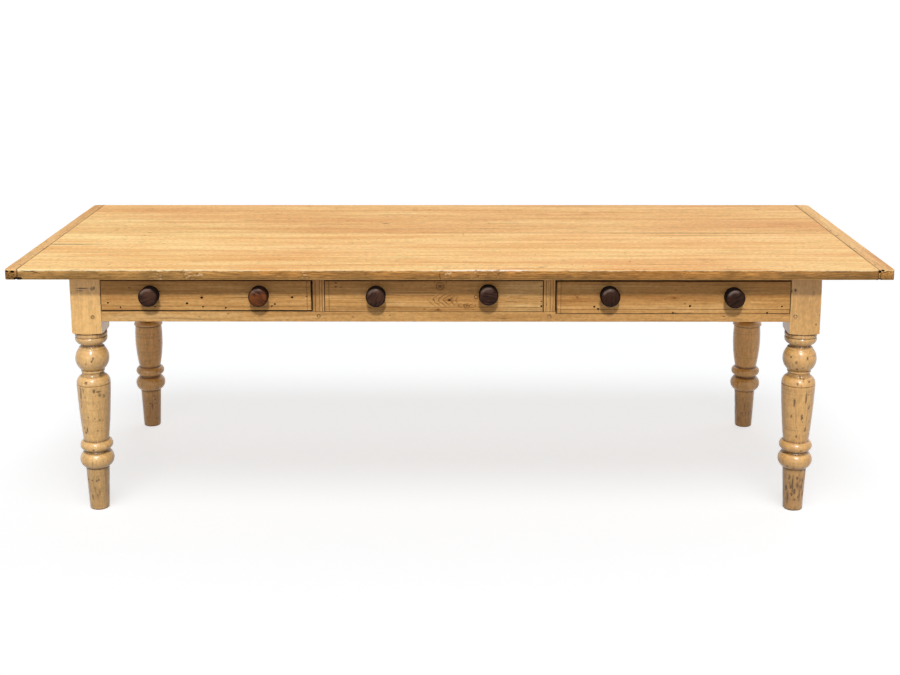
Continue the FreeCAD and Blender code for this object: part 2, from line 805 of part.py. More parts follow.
def drawer(name, opening, gaps, quirk_sides, knob_spacing, knob_lifts):
    """The pieces of one drawer, closed in its opening."""
    x0, x1 = opening[0] + gaps["left"], opening[1] - gaps["right"]
    z0, z1 = opening[2] + gaps["bottom"], opening_top - gaps["top"]
    y0 = front_face + drawer_front_recess
    y1 = y0 + drawer_front_thickness
    rear = y0 + drawer_length
    side_low = opening_bottom + slide_clearance
    side_high = side_low + drawer_side_height
    panel_low = side_low + drawer_panel_rise
    panel_high = panel_low + drawer_panel_thickness
    back_high = side_high - drawer_back_drop
    back_front = rear - drawer_back_thickness
    left_inner = x0 + drawer_side_thickness
    right_inner = x1 - drawer_side_thickness
    tail_low = max(z0, side_low) + tail_gap / 2

    front_left_tails = tails(x0, left_inner, y1, y0 + drawer_lap, tail_low, back_high)
    front_right_tails = tails(right_inner, x1, y1, y0 + drawer_lap, tail_low, back_high)
    rear_left_tails = tails(x0, left_inner, back_front, rear, panel_high, back_high)
    rear_right_tails = tails(right_inner, x1, back_front, rear, panel_high, back_high)

    panel = box(left_inner - drawer_groove_depth, right_inner + drawer_groove_depth,
                y1 - drawer_groove_depth, rear, panel_low, panel_high)
    knobs = []
    middle = (opening[0] + opening[1]) / 2 + knob_pair_shift
    level = (opening_bottom + opening_top) / 2 + knob_above_opening_middle
    for side, lift in zip((-1, 1), knob_lifts):
        knobs.append(knob(middle + side * knob_spacing / 2, level + lift))

    nails = []
    pitch = (right_inner - left_inner) / panel_nail_count
    for index in range(panel_nail_count):
        nails.append(rod(panel_nail_radius,
                         (left_inner + pitch * (index + 0.5), back_front + drawer_back_thickness / 2,
                          panel_low),
                         (0, 0, 1), panel_nail_length))

    face = rounded(box(x0, x1, y0, y1, z0, z1), drawer_arris_radius, lambda p, e: near(p.y, y0))
    face = face.cut(front_left_tails + front_right_tails + [panel] + knobs)
    face = face.cut(quirks(x0, x1, z0, z1, y0, quirk_sides))
    back = box(x0, x1, back_front, rear, panel_high, back_high)
    back = back.cut(rear_left_tails + rear_right_tails + nails)
    left = box(x0, left_inner, y1, rear, side_low, side_high)
    left = joined([left.cut([back, panel])] + [tail.cut(panel) for tail in front_left_tails])
    right = box(right_inner, x1, y1, rear, side_low, side_high)
    right = joined([right.cut([back, panel])] + [tail.cut(panel) for tail in front_right_tails])
    return {
        name + "_drawer_front": face,
        name + "_drawer_side_left": left,
        name + "_drawer_side_right": right,
        name + "_drawer_back": back,
        name + "_drawer_bottom": panel.cut(nails),
        name + "_drawer_nails": Part.makeCompound(nails),
        name + "_knob_a": knobs[0],
        name + "_knob_b": knobs[1]}


def build():
    """Every piece of the table, by name."""
    places = list(stub_spans())
    nails = clamp_nails()
    rail_pegs = [rail_peg(-1), rail_peg(1)]
    divider_pegs = [divider_peg(divider_left_x), divider_peg(divider_right_x)]
    back_pegs = rear_apron_pegs(-1) + rear_apron_pegs(1)
    left_pegs = end_apron_pegs(-1, -1) + end_apron_pegs(-1, 1)
    right_pegs = end_apron_pegs(1, -1) + end_apron_pegs(1, 1)
    side_pegs = left_pegs + right_pegs
    front_screws = rail_screws()
    line_screws = {place: kicker_screws(place) for place in places}
    screws = list(front_screws)
    for found in line_screws.values():
        screws += found

    pieces = {}
    pieces["top_front_plank"] = front_plank().cut(nails + screws)
    pieces["top_rear_plank"] = rear_plank().cut(nails + screws)
    pieces["clamp_left"] = clamp(-1).cut(nails)
    pieces["clamp_right"] = clamp(1).cut(nails)
    pieces["clamp_nails"] = Part.makeCompound(nails)

    for side, side_name in ((-1, "left"), (1, "right")):
        front_cuts = [rail_tenon(side, mortise_end_gap), top_rail_tail(side),
                      end_apron_tenon(side, -1, mortise_end_gap)]
        rear_cuts = [rear_apron_tenon(side, mortise_end_gap),
                     end_apron_tenon(side, 1, mortise_end_gap)]
        pieces["leg_front_" + side_name] = leg(side, -1, front_cuts + rail_pegs + side_pegs)
        pieces["leg_rear_" + side_name] = leg(side, 1, rear_cuts + back_pegs + side_pegs)

    pieces["front_lower_rail"] = lower_rail(rail_pegs + divider_pegs)
    pieces["front_top_rail"] = top_rail(front_screws)
    pieces["divider_left"] = divider(divider_left_x, divider_pegs)
    pieces["divider_right"] = divider(divider_right_x, divider_pegs)
    pieces["rear_apron"] = rear_apron(back_pegs)
    pieces["end_apron_left"] = end_apron(-1, left_pegs)
    pieces["end_apron_right"] = end_apron(1, right_pegs)
    pieces["frame_pegs"] = Part.makeCompound(rail_pegs + divider_pegs + back_pegs + side_pegs)

    for place in places:
        pieces["runner_" + place] = runner_board(place, False)
        pieces["guide_" + place] = guide(place)
        pieces["kicker_" + place] = runner_board(place, True).cut(line_screws[place])
    pieces["drawer_stops"] = Part.makeCompound(drawer_stops())
    pieces["glue_blocks"] = Part.makeCompound(glue_blocks())
    pieces["top_screws"] = Part.makeCompound(screws)

    openings = drawer_openings()
    pieces.update(drawer("left", openings[0], left_drawer_gaps, ("bottom", "right"),
                         left_knob_spacing, (0, 0)))
    pieces.update(drawer("middle", openings[1], middle_drawer_gaps, ("bottom", "left"),
                         middle_knob_spacing, (0, raised_knob_lift)))
    pieces.update(drawer("right", openings[2], right_drawer_gaps, ("bottom", "left"),
                         right_knob_spacing, (0, -lowered_knob_drop)))
    return pieces


os.makedirs("parts", exist_ok=True)
for name, shape in build().items():
    shape.exportStep("parts/" + name + ".step")
    print(name, len(shape.Solids), shape.isValid(), round(shape.Volume))
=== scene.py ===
"""Farmhouse table in old waxed pine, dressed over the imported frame.

Metres, in the frame's own axes: X along the table, Y from the drawer side to the back, Z up.
The boards, legs and knobs that show are built here as worn meshes inside the boxes of the nodes
they stand for. The hidden framing keeps its nodes and gets finished materials.
"""
import json
from math import pi, radians
import bpy
import numpy as np
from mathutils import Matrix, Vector, kdtree

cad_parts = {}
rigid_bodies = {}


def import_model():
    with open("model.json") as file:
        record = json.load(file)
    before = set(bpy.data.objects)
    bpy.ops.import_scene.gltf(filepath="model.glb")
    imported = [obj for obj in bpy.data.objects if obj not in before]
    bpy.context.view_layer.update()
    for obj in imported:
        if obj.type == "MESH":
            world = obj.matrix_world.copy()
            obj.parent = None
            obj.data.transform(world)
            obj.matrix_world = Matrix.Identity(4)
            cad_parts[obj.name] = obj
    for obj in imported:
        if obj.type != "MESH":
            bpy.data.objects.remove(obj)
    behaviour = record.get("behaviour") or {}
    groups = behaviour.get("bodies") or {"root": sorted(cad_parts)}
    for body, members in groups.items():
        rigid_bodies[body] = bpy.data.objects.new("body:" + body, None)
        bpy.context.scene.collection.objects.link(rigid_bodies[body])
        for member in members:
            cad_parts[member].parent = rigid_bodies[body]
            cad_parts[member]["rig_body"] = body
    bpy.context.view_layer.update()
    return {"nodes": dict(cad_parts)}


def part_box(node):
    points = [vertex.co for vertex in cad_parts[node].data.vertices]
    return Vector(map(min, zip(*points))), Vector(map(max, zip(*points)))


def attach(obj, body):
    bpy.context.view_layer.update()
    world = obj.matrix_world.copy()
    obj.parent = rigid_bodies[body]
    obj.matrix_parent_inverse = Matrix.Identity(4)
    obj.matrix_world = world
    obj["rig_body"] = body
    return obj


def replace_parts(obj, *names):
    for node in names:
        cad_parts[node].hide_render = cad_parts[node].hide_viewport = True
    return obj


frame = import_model()
nodes = frame["nodes"]

MM = 0.001
SMOOTH_ANGLE = radians(38)
AXES = {"X": 0, "Y": 1, "Z": 2}
GRAIN_ORDER = {"X": "XYZ", "Y": "YXZ", "Z": "ZXY"}
BLOCK_HALF = 44.5 * MM
JOINT_ARRIS = 0.6 * MM
random = np.random.default_rng(7)


# Levels and places that several pieces share, read from the frame

def middle(node):
    low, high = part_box(node)
    return (low + high) / 2


left_leg, rear_leg = middle("leg_front_left"), middle("leg_rear_left")
between_legs = (left_leg.x + BLOCK_HALF, middle("leg_front_right").x - BLOCK_HALF)
plank_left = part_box("clamp_left")[1].x
plank_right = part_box("clamp_right")[0].x
front_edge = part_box("top_front_plank")[0].y
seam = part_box("top_rear_plank")[0].y
underside, top_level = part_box("clamp_left")[0].z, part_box("clamp_left")[1].z
opening_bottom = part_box("front_lower_rail")[1].z
opening_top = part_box("front_top_rail")[0].z
front_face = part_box("left_drawer_front")[0].y
block_bottom = opening_bottom - 69.5 * MM


def on_face(y, *rows):
    """Rows of (x, z, ...) on an upright face, as (x, y, z, ...)."""
    return [(x, y, z, *rest) for x, z, *rest in rows]


def on_front(*rows):
    return on_face(front_face, *rows)


def on_top(*rows):
    """Rows of (x, y, ...) on the table top, as (x, y, z, ...)."""
    return [(x, y, top_level, *rest) for x, y, *rest in rows]


# Noise that the worn shapes are cut with

def lattice(cells, seed):
    """A fixed value from -1 to 1 for each whole-number cell."""
    mixed = (cells @ np.array([374761393, 668265263, 1440662683]) + seed * 1274126177) & 0xFFFFFFFF
    for shift, factor in ((15, 1103515245), (13, 1597334677)):
        mixed = ((mixed ^ (mixed >> shift)) * factor) & 0xFFFFFFFF
    mixed = mixed ^ (mixed >> 16)
    return (mixed & 0xFFFF) / 32767.5 - 1


def noise(points, size, seed):
    """Smooth value noise from -1 to 1, where size is one cell's length along each axis."""
    scaled = points / np.asarray(size)
    cell = np.floor(scaled).astype(np.int64)
    part = scaled - cell
    part = part * part * (3 - 2 * part)
    total = np.zeros(len(points))
    for corner in np.ndindex(2, 2, 2):
        weight = np.prod(np.where(np.array(corner, bool), part, 1 - part), axis=1)
        total += weight * lattice(cell + np.array(corner), seed)
    return total


def unit(values):
    """Values held between 0 and 1."""
    return np.minimum(np.maximum(values, 0), 1)


def above(values, threshold):
    """How far values stand over a threshold, as a share of the way to 1."""
    return unit((values - threshold) / (1 - threshold))


def smooth_step(values, start, end):
    part = unit((values - start) / (end - start))
    return part * part * (3 - 2 * part)


# Mesh builders

def add_object(name, data):
    obj = bpy.data.objects.new(name, data)
    bpy.context.scene.collection.objects.link(obj)
    return obj


def shaded(obj):
    """Smooth shading with the real corners left sharp."""
    obj.data.shade_smooth()
    obj.data.set_sharp_from_angle(angle=SMOOTH_ANGLE)
    return obj


def mesh_object(name, points, faces, **masks):
    """A smooth-shaded mesh object with its masks, such as wear, as point attributes."""
    mesh = bpy.data.meshes.new(name)
    mesh.from_pydata(points.tolist(), [], faces)
    for mask, values in masks.items():
        layer = mesh.attributes.new(mask, "FLOAT", "POINT")
        layer.data.foreach_set("value", np.asarray(values, np.float32).ravel())
    return shaded(add_object(name, mesh))


def modifier(obj, name, kind, **settings):
    """Put a modifier on an object."""
    made = obj.modifiers.new(name, kind)
    for key, value in settings.items():
        setattr(made, key, value)


def grid_lines(low, high, spacing, arris, extra):
    """Cuts along one axis of a board, close together where the arrises are rounded."""
    count = max(1, round((high - low - 2 * arris) / spacing))
    inner = np.linspace(low + arris, high - arris, count + 1)
    steps = arris * np.array([0, 0.15, 0.4, 0.7])
    lines = np.concatenate([low + steps, inner, high - steps, np.asarray(extra, float)])
    lines = np.unique(np.round(lines, 6))
    return lines[np.concatenate([[True], np.diff(lines) > 0.04 * MM])]


def box_surface(lines):
    """Points and quads of a closed box that is cut along three sets of lines."""
    shell = np.zeros([len(line) for line in lines], bool)
    for axis in range(3):
        np.moveaxis(shell, axis, 0)[[0, -1]] = True
    index = np.full(shell.shape, -1)
    index[shell] = np.arange(shell.sum())
    where = np.argwhere(shell)
    points = np.column_stack([lines[axis][where[:, axis]] for axis in range(3)])
    quads = []
    for axis in range(3):
        layers = np.moveaxis(index, axis, 0)
        for layer, inward in ((layers[0], True), (layers[-1], False)):
            quad = np.stack([layer[:-1, :-1], layer[1:, :-1], layer[1:, 1:], layer[:-1, 1:]],
                            axis=-1).reshape(-1, 4)
            quads.append(quad[:, ::-1] if inward != (axis == 1) else quad)
    return points, np.concatenate(quads).tolist()


def worn_board(node, spacing, arris, seed, dent=0.7, grooves=(), shape=None, extra=((), (), ()),
               joints=(), **spans):
    """A board in a node's box: uneven arrises, shallow dents, and scratched grooves on its front.

    spacing, arris and dent are in millimetres. grooves holds (axis, position, width, depth) for
    lines across the face at low Y. joints names the faces, such as "+X", that meet another piece
    and keep a tight arris. spans are a (low, high) along an axis other than the node's own.
    """
    arris *= MM
    low, high = np.array(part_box(node), float)
    for axis, span in spans.items():
        low[AXES[axis]], high[AXES[axis]] = span
    extra = [list(cuts) for cuts in extra]
    for axis, place, width, depth in grooves:
        extra[AXES[axis]] += [place + width * share for share in (-0.5, -0.25, 0, 0.25, 0.5)]
    joints = [(AXES[axis], sign == "+") for sign, axis in joints]
    for face, is_high in joints:
        steps = JOINT_ARRIS * np.array([0.25, 0.6, 1.0])
        extra[face] += list(high[face] - steps if is_high else low[face] + steps)
    lines = [grid_lines(low[a], high[a], spacing[a] * MM, arris, extra[a]) for a in range(3)]
    points, quads = box_surface(lines)
    flat = points.copy()

    radius = arris * (0.62 + 0.38 * noise(points, 0.11, seed))
    for face, is_high in joints:
        gap = high[face] - points[:, face] if is_high else points[:, face] - low[face]
        radius = np.where(gap < arris, JOINT_ARRIS, radius)
    radius = radius[:, None]
    centre = np.clip(points, low + radius, high - radius)
    offset = points - centre
    direction = offset / np.linalg.norm(offset, axis=1, keepdims=True)
    turn = unit((1 - np.abs(direction).max(axis=1)) / 0.29)
    points = centre + direction * radius

    chips = above(noise(points, 0.013, seed + 1), 0.25) * turn
    bruises = above(noise(points, 0.031, seed + 2), 0.45)
    waves = 0.5 + 0.5 * noise(points, (0.22, 0.16, 0.22), seed + 3)
    depth = dent * MM * (1.5 * chips + 0.35 * bruises + 0.2 * waves)
    points = points - direction * depth[:, None]
    for face, _ in joints:
        turn = np.where(np.abs(direction[:, face]) > 0.2, 0, turn)
    wear = turn * (0.65 + 0.35 * noise(points, 0.05, seed + 4))
    grime = 0.8 * chips + 0.25 * bruises
    for axis, place, width, cut in grooves:
        across = (flat[:, AXES[axis]] - place) / (width / 2)
        part = np.where(flat[:, 1] < low[1] + arris, unit(1 - across ** 2), 0)
        points[:, 1] += cut * part
        grime = grime + part
    if shape is not None:
        shape(flat, points)
    side = 1 - np.abs(direction[:, 2])
    obj = mesh_object("worn_" + node, points, quads, wear=wear, grime=unit(grime), side=side)
    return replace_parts(obj, node)


def skin(rows, columns):
    """Faces between closed rings of points, with one more over each end ring."""
    index = np.arange(rows * columns).reshape(rows, columns)
    beside = np.roll(index, -1, axis=1)
    quads = np.stack([index[:-1], beside[:-1], beside[1:], index[1:]], axis=-1).reshape(-1, 4)
    return quads.tolist() + [index[0, ::-1].tolist(), index[-1].tolist()]


def outline(node, axis, limit):
    """A turned node's levels along an axis, up to a limit, with its largest radius at each."""
    points = np.array([v.co for v in nodes[node].data.vertices])
    offsets = points - middle(node)
    reach = np.hypot(offsets[:, axis - 2], offsets[:, axis - 1])
    widest = {}
    for level, radius in zip(np.round(points[:, axis], 5), reach):
        if level < limit:
            widest[level] = max(radius, widest.get(level, 0))
    return np.array(sorted(widest.items())).T


def revolved(node, radius, angle, level, axis, **masks):
    """A closed skin that stands for a turned node; all grids have a row for each level."""
    centre = middle(node)
    points = np.zeros((*radius.shape, 3))
    points[..., axis - 2] = centre[axis - 2] + radius * np.cos(angle)
    points[..., axis - 1] = centre[axis - 1] + radius * np.sin(angle)
    points[..., axis] = level
    obj = mesh_object("worn_" + node, points.reshape(-1, 3), skin(*radius.shape), **masks)
    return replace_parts(obj, node)


def pit(x, y, z, radius, depth, stretch):
    """Points and faces of a small ragged plug, for a hole in a front face, all in metres."""
    sides = 9
    angles = np.linspace(0, 2 * pi, sides, endpoint=False)
    rings = []
    for share, level in ((1.15, -0.4 * depth), (1.0, 0.0), (0.75, 0.6 * depth), (0.35, depth)):
        rough = radius * share * (1 + 0.18 * random.uniform(-1, 1, sides))
        rings.append(np.column_stack([x + rough * np.cos(angles) * stretch,
                                      np.full(sides, y + level), z + rough * np.sin(angles)]))
    return np.concatenate(rings[::-1]), skin(len(rings), sides)


def crack(path, into, width, depth):
    """Points and faces of a thin ragged wedge along a path, for a split that goes into a face."""
    path = np.asarray(path, float)
    steps = [path[0]]
    for start, end in zip(path[:-1], path[1:]):
        count = max(2, int(np.linalg.norm(end - start) / (8 * MM)))
        steps += [start + (end - start) * share for share in np.linspace(0, 1, count + 1)[1:]]
    steps = np.array(steps)
    normal = np.array(into, float)
    sideways = np.cross(np.gradient(steps, axis=0), normal)
    sideways /= np.linalg.norm(sideways, axis=1, keepdims=True)
    taper = np.sin(np.linspace(0.12, pi - 0.12, len(steps))) ** 0.6
    ragged = 1 + 0.35 * random.uniform(-1, 1, len(steps))
    half = sideways * (width / 2 * taper * ragged)[:, None]
    spine = steps + sideways * (width * 0.8 * random.uniform(-1, 1, len(steps)))[:, None]
    top = spine - 0.4 * depth * normal
    bottom = spine + (depth * taper)[:, None] * normal
    corners = np.stack([top + half, top - half, bottom], axis=1)
    return corners.reshape(-1, 3), skin(len(steps), 3)


def carve(obj, plugs):
    """Cut plugs out of a piece, whose cut faces get old dirt and its masks from nearby."""
    points, faces = [], []
    for plug_points, plug_faces in plugs:
        base = sum(len(part) for part in points)
        points.append(plug_points)
        faces += [[base + corner for corner in face] for face in plug_faces]
    cutter = mesh_object("cutter", np.concatenate(points), faces)
    cutter.data.materials.append(dirt)
    modifier(obj, "cut", "BOOLEAN", operation="DIFFERENCE", solver="EXACT", use_self=True,
             material_mode="TRANSFER", object=cutter)
    graph = bpy.context.evaluated_depsgraph_get()
    carved = bpy.data.meshes.new_from_object(obj.evaluated_get(graph))
    obj.modifiers.clear()
    old = obj.data
    tree = kdtree.KDTree(len(old.vertices))
    for index, vertex in enumerate(old.vertices):
        tree.insert(vertex.co, index)
    tree.balance()
    nearest = [tree.find(vertex.co)[1] for vertex in carved.vertices]
    for mask in ("wear", "grime", "side"):
        values = np.zeros(len(old.vertices), np.float32)
        old.attributes[mask].data.foreach_get("value", values)
        carved.attributes[mask].data.foreach_set("value", values[nearest])
    obj.data = carved
    bpy.data.meshes.remove(old)
    bpy.data.objects.remove(cutter)
    return shaded(obj)


def dressed(piece, node, material):
    """Give a new piece its material and slot, and let it ride with the node it stands for."""
    if piece.data.materials:
        piece.data.materials[0] = material
    else:
        piece.data.materials.append(material)
    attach(piece, nodes[node]["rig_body"])


# Materials

class Paint:
    """The nodes of one material or world; place is where its noises lie."""

    def __init__(self, name, kind=bpy.data.materials):
        self.owner = kind.new(name)
        self.owner.use_nodes = True
        self.tree = self.owner.node_tree
        self.tree.nodes.clear()

    def node(self, kind, *values, named=(), **settings):
        """A node of one kind with its inputs given in order or by name."""
        node = self.tree.nodes.new("ShaderNode" + kind)
        for key, value in settings.items():
            setattr(node, key, value)
        for key, value in list(enumerate(values)) + list(dict(named).items()):
            socket = node.inputs[key]
            if isinstance(value, bpy.types.NodeSocket):
                self.tree.links.new(value, socket)
            elif value is not None:
                socket.default_value = (*value, 1.0) if socket.type == "RGBA" else value
        return node

    def put(self, kind, *values, out=0, **settings):
        """One output of a new node."""
        return self.node(kind, *values, **settings).outputs[out]

    def math(self, operation, *values, clamp=False):
        return self.put("Math", *values, operation=operation, use_clamp=clamp)

    def times(self, first, second):
        return self.math("MULTIPLY", first, second)

    def minus(self, first, second):
        return self.math("SUBTRACT", first, second)

    def scaled(self, value, factor, added, clamp=False):
        return self.math("MULTIPLY_ADD", value, factor, added, clamp=clamp)

    def most(self, first, second):
        """The larger of two values, where the first may be missing."""
        return second if first is None else self.math("MAXIMUM", first, second)

    def away(self, value, place):
        """How far a value is from a place, either way."""
        return self.math("ABSOLUTE", self.minus(value, place))

    def vector(self, operation, *values, out=0):
        return self.put("VectorMath", *values, operation=operation, out=out)

    def length(self, vector):
        return self.vector("LENGTH", vector, out=1)

    def noise(self, scale, detail=2, roughness=0.5, out=0, place=None):
        """Noise from 0 to 1 whose scale is cells to a metre along each axis."""
        return self.put("TexNoise", out=out, named={
            "Vector": self.vector("MULTIPLY", place or self.place, scale), "Scale": 1,
            "Detail": detail, "Roughness": roughness})

    def step(self, value, start, end, low=0, high=1):
        """Smooth change from low to high as value goes from start to end."""
        return self.put("MapRange", value, start, end, low, high, interpolation_type="SMOOTHSTEP")

    def mix(self, share, first, second, blend="MIX"):
        """One colour mixed over another."""
        return self.put("Mix", out=2, named={0: share, 6: first, 7: second},
                        data_type="RGBA", blend_type=blend)

    def tinted(self, colour, red, green, blue):
        """A colour with each channel multiplied."""
        return self.mix(1.0, colour, self.put("CombineXYZ", red, green, blue), "MULTIPLY")

    def mask(self, name):
        return self.put("Attribute", out=2, attribute_name=name)

    def finish(self, colour, roughness, height, depth, strength=1.0, **shader):
        """Join the colour, roughness and bump height to the shader and the output."""
        bump = self.put("Bump", named={"Height": height, "Distance": depth, "Strength": strength})
        named = {"Base Color": colour, "Roughness": roughness, "Normal": bump}
        named.update({key.replace("_", " "): value for key, value in shader.items()})
        self.node("OutputMaterial", self.put("BsdfPrincipled", named=named))
        return self.owner


class Wood(Paint):
    """Sawn softwood, whose noises lie along the grain and differ from piece to piece by shift."""

    DARK = (0.045, 0.018, 0.006)

    def __init__(self, name, grain, shift, warp):
        super().__init__(name)
        self.grain = grain
        self.parts = self.node("SeparateXYZ", self.put("TexCoord", out=3)).outputs
        self.real = self.put("CombineXYZ", *[self.parts[axis] for axis in GRAIN_ORDER[grain]])
        self.bent = self.real
        self.place = self.vector("ADD", self.real, (shift, 0.37 * shift, 0.21 * shift))
        for scale, weight in (((0.9, 4, 4), 2 * warp), ((5, 30, 30), 0.25 * warp)):
            bend = self.vector("SUBTRACT", self.noise(scale, out=1), (0.5, 0.5, 0.5))
            self.bent = self.vector("MULTIPLY_ADD", bend, (0, weight, weight), self.bent)
        self.fibre = self.noise((7, 210, 210), 3, 0.6, place=self.bent)
        self.patch = self.noise((1.7, 6, 6), 4, 0.62)
        # The grime mask: dirt in chips and dents, and darker grooves and turned hollows.
        self.dark = self.times(self.mask("grime"), 0.85)

    def along_grain(self, point):
        """A point's coordinates with the one along the grain first."""
        return [point[AXES[axis]] for axis in GRAIN_ORDER[self.grain]]

    def spot(self, point, reach, force=1.0):
        """Full force at a point, falling to 0 at the reach given along and across the grain."""
        offset = self.vector("SUBTRACT", self.real, self.along_grain(point))
        return self.step(self.length(self.vector("DIVIDE", offset, reach)), 1.0, 0.0, 0, force)

    def darken(self, mask):
        self.dark = self.most(self.dark, mask)

    def figure(self, early, late, pale, pith, ring, contrast, streaks, broad, fine, knots):
        """The colour of rings round the pith, drawn in round the knots, with streaks and fibres."""
        from_pith = self.vector("SUBTRACT", self.bent, (0, *pith))
        distance = self.length(self.vector("MULTIPLY", from_pith, (0.012, 1, 1)))
        self.core = None
        halo = None
        for *point, radius in knots:
            pull, inner, outer = [
                self.spot(point, (radius * along, radius * across, radius * across))
                for along, across in ((7, 3.2), (1.5, 1.1), (5, 2.2))]
            distance = self.scaled(pull, radius * 2.2, distance)
            self.core = self.most(self.core, inner)
            halo = self.most(halo, outer)
        count = self.math("DIVIDE", distance, ring)
        whole = self.math("FLOOR", count)
        strength = self.put("TexWhiteNoise", named={"W": whole}, noise_dimensions="1D")
        self.latewood = self.times(self.math("POWER", self.math("FRACT", count), 2.5),
                                   self.scaled(strength, 1.1, 0.2))
        streak = self.noise((0.9, 30, 30), 5, 0.68, place=self.bent)
        wide = self.noise((1.2, 9, 9), 3, 0.6, place=self.bent)
        tone = self.scaled(self.latewood, contrast, 0.33 - 0.3 * contrast)
        for grain, weight in ((streak, 4.0), (wide, broad * 2.4), (self.fibre, fine * 2.6)):
            tone = self.scaled(self.minus(grain, 0.5), streaks * weight, tone)
        if halo is not None:
            tone = self.scaled(halo, 0.5, tone)
        tone = self.math("MINIMUM", self.most(tone, -0.25), 1.6)
        burnt = np.multiply(late, (0.62, 0.46, 0.36))
        colour = self.mix(tone, early, late)
        colour = self.mix(self.step(tone, 1.0, 1.7, 0, 0.7), colour, burnt)
        return self.mix(self.step(tone, 0.0, -0.35, 0, 0.35), colour, pale)

    def mottled(self, colour, mottle, warmth, blotches):
        """A colour with wide warm patches and small uneven spots, and with the knots' cores."""
        shade = self.step(self.patch, 0.28, 0.72, -0.42 * mottle, 0.3 * mottle)
        colour = self.tinted(colour, *[self.scaled(shade, share, 1.0) for share in
                                       (1 - 0.8 * warmth, 1.0, 1 + 0.7 * warmth)])
        spots = self.noise((70, 130, 130), 4, 0.7)
        spots = self.step(spots, 0.34, 0.66, 1 - 0.45 * blotches, 1 + 0.28 * blotches)
        colour = self.tinted(colour, spots, spots, spots)
        if self.core is None:
            return colour
        return self.mix(self.times(self.core, 0.85), colour, (0.12, 0.042, 0.012))

    def board_edge(self, colour, side, pale, flecks):
        """Darker, rough grain on a top board's edges, rubbed along the arris and torn in flecks."""
        edge = self.step(self.mask("side"), 0.35, 0.9, 0, 0.9)
        rough_grain = self.step(self.noise((24, 200, 330), 5, 0.75), 0.34, 0.66)
        edge_colour = self.mix(rough_grain, np.multiply(side, 0.38), np.multiply(side, 1.62))
        broad = self.step(self.noise((9, 3, 40), 4, 0.65), 0.3, 0.7, 0.62, 1.35)
        rise = self.step(self.parts["Z"], underside, top_level - 4 * MM, 0.66, 1.22)
        broad = self.times(broad, rise)
        edge_colour = self.tinted(edge_colour, broad, broad, broad)
        nick = self.step(self.noise((95, 170, 260), 3), 0.66, 0.74, 0, 0.8)
        edge_colour = self.mix(nick, edge_colour, self.DARK)
        ragged = self.scaled(self.noise((60, 60, 60), 3), 7 * MM, self.parts["Z"])
        arris = self.step(ragged, top_level - 2.5 * MM, top_level + 0.5 * MM)
        edge_colour = self.mix(self.times(arris, 0.85), edge_colour, pale)
        colour = self.mix(edge, colour, edge_colour)
        self.edge_arris = self.times(arris, edge)
        torn = None
        for x, length in flecks:
            torn = self.most(torn, self.step(self.away(self.parts["X"], x), length, length * 0.5))
        if torn is not None:
            torn = self.times(torn, edge)
            chip = self.noise((75, 140, 190), 3, 0.6)
            colour = self.mix(self.times(torn, self.step(chip, 0.56, 0.66, 0, 0.6)), colour, pale)
            self.darken(self.times(torn, self.step(chip, 0.44, 0.37, 0, 0.7)))
        return colour

    def scars(self, marks, circles, chevrons, dark_bands, lines, specks):
        """Darken single marks, scratched circles, pointed figure, joints and bands of painted shadow,
        fibres and worm specks.
        """
        for *point, length, width, force in marks:
            self.darken(self.spot(point, (length, width, width), force))
        if marks:
            ragged = self.step(self.noise((30, 260, 260), 3), 0.3, 0.6, 0.45, 1.0)
            self.dark = self.times(self.dark, ragged)
        for *point, radius, width, force in circles:
            offset = self.vector("SUBTRACT", self.real, self.along_grain(point))
            self.darken(self.step(self.away(self.length(offset), radius), width, 0.3 * width, 0, force))
        for x, z, slope, reach, height, pitch, force in chevrons:
            aside = self.minus(self.parts["Z"], z)
            bowed = self.length(self.put("CombineXYZ", aside, 0.004))
            inside = self.scaled(bowed, -slope, self.minus(self.parts["X"], x))
            inside = self.scaled(self.noise((24, 60, 60)), 0.024, inside)
            along = self.math("FRACT", self.math("DIVIDE", inside, pitch))
            region = self.spot((x + reach, front_face, z), (reach * 1.1, 1.0, height))
            self.darken(self.times(self.step(self.away(along, 0.5), 0.27, 0.45),
                                   self.step(region, 0.0, 0.45, 0, force)))
        if dark_bands:
            broken = self.step(self.noise((7, 7, 7), 4), 0.3, 0.62, 0.35, 1.0)
        for axis, position, width, force in dark_bands:
            line = self.step(self.away(self.parts[axis], position), width, 0.35 * width, 0, force)
            self.darken(self.times(line, broken))
        self.darken(self.step(self.noise((3.2, 95, 95), place=self.bent), 0.63, 0.78, 0, lines))
        if specks:
            cells = self.vector("MULTIPLY", self.place, (70, 160, 160))
            hole = self.node("TexVoronoi", named={"Vector": cells, "Scale": 1.0}).outputs
            chosen = self.put("SeparateXYZ", hole["Color"])
            lot = self.step(chosen, 1 - 0.22 * specks, 1 - 0.18 * specks)
            dot = self.times(self.step(hole["Distance"], 0.36, 0.16), lot)
            cluster = self.step(self.noise((6, 12, 12)), 0.42, 0.6)
            self.darken(self.times(dot, cluster))

    def painted_arris_glint(self, colour, x, length):
        """A painted glint: a stretch of the front arris painted almost white, standing for a highlight.
        """
        along = self.step(self.away(self.parts["X"], x), length, 0.6 * length)
        glint = self.step(self.noise((30, 60, 60)), 0.3, 0.5, 0, 0.9)
        glint = self.times(self.times(along, glint), self.most(self.mask("wear"), self.edge_arris))
        return self.mix(glint, colour, (0.95, 0.88, 0.78))


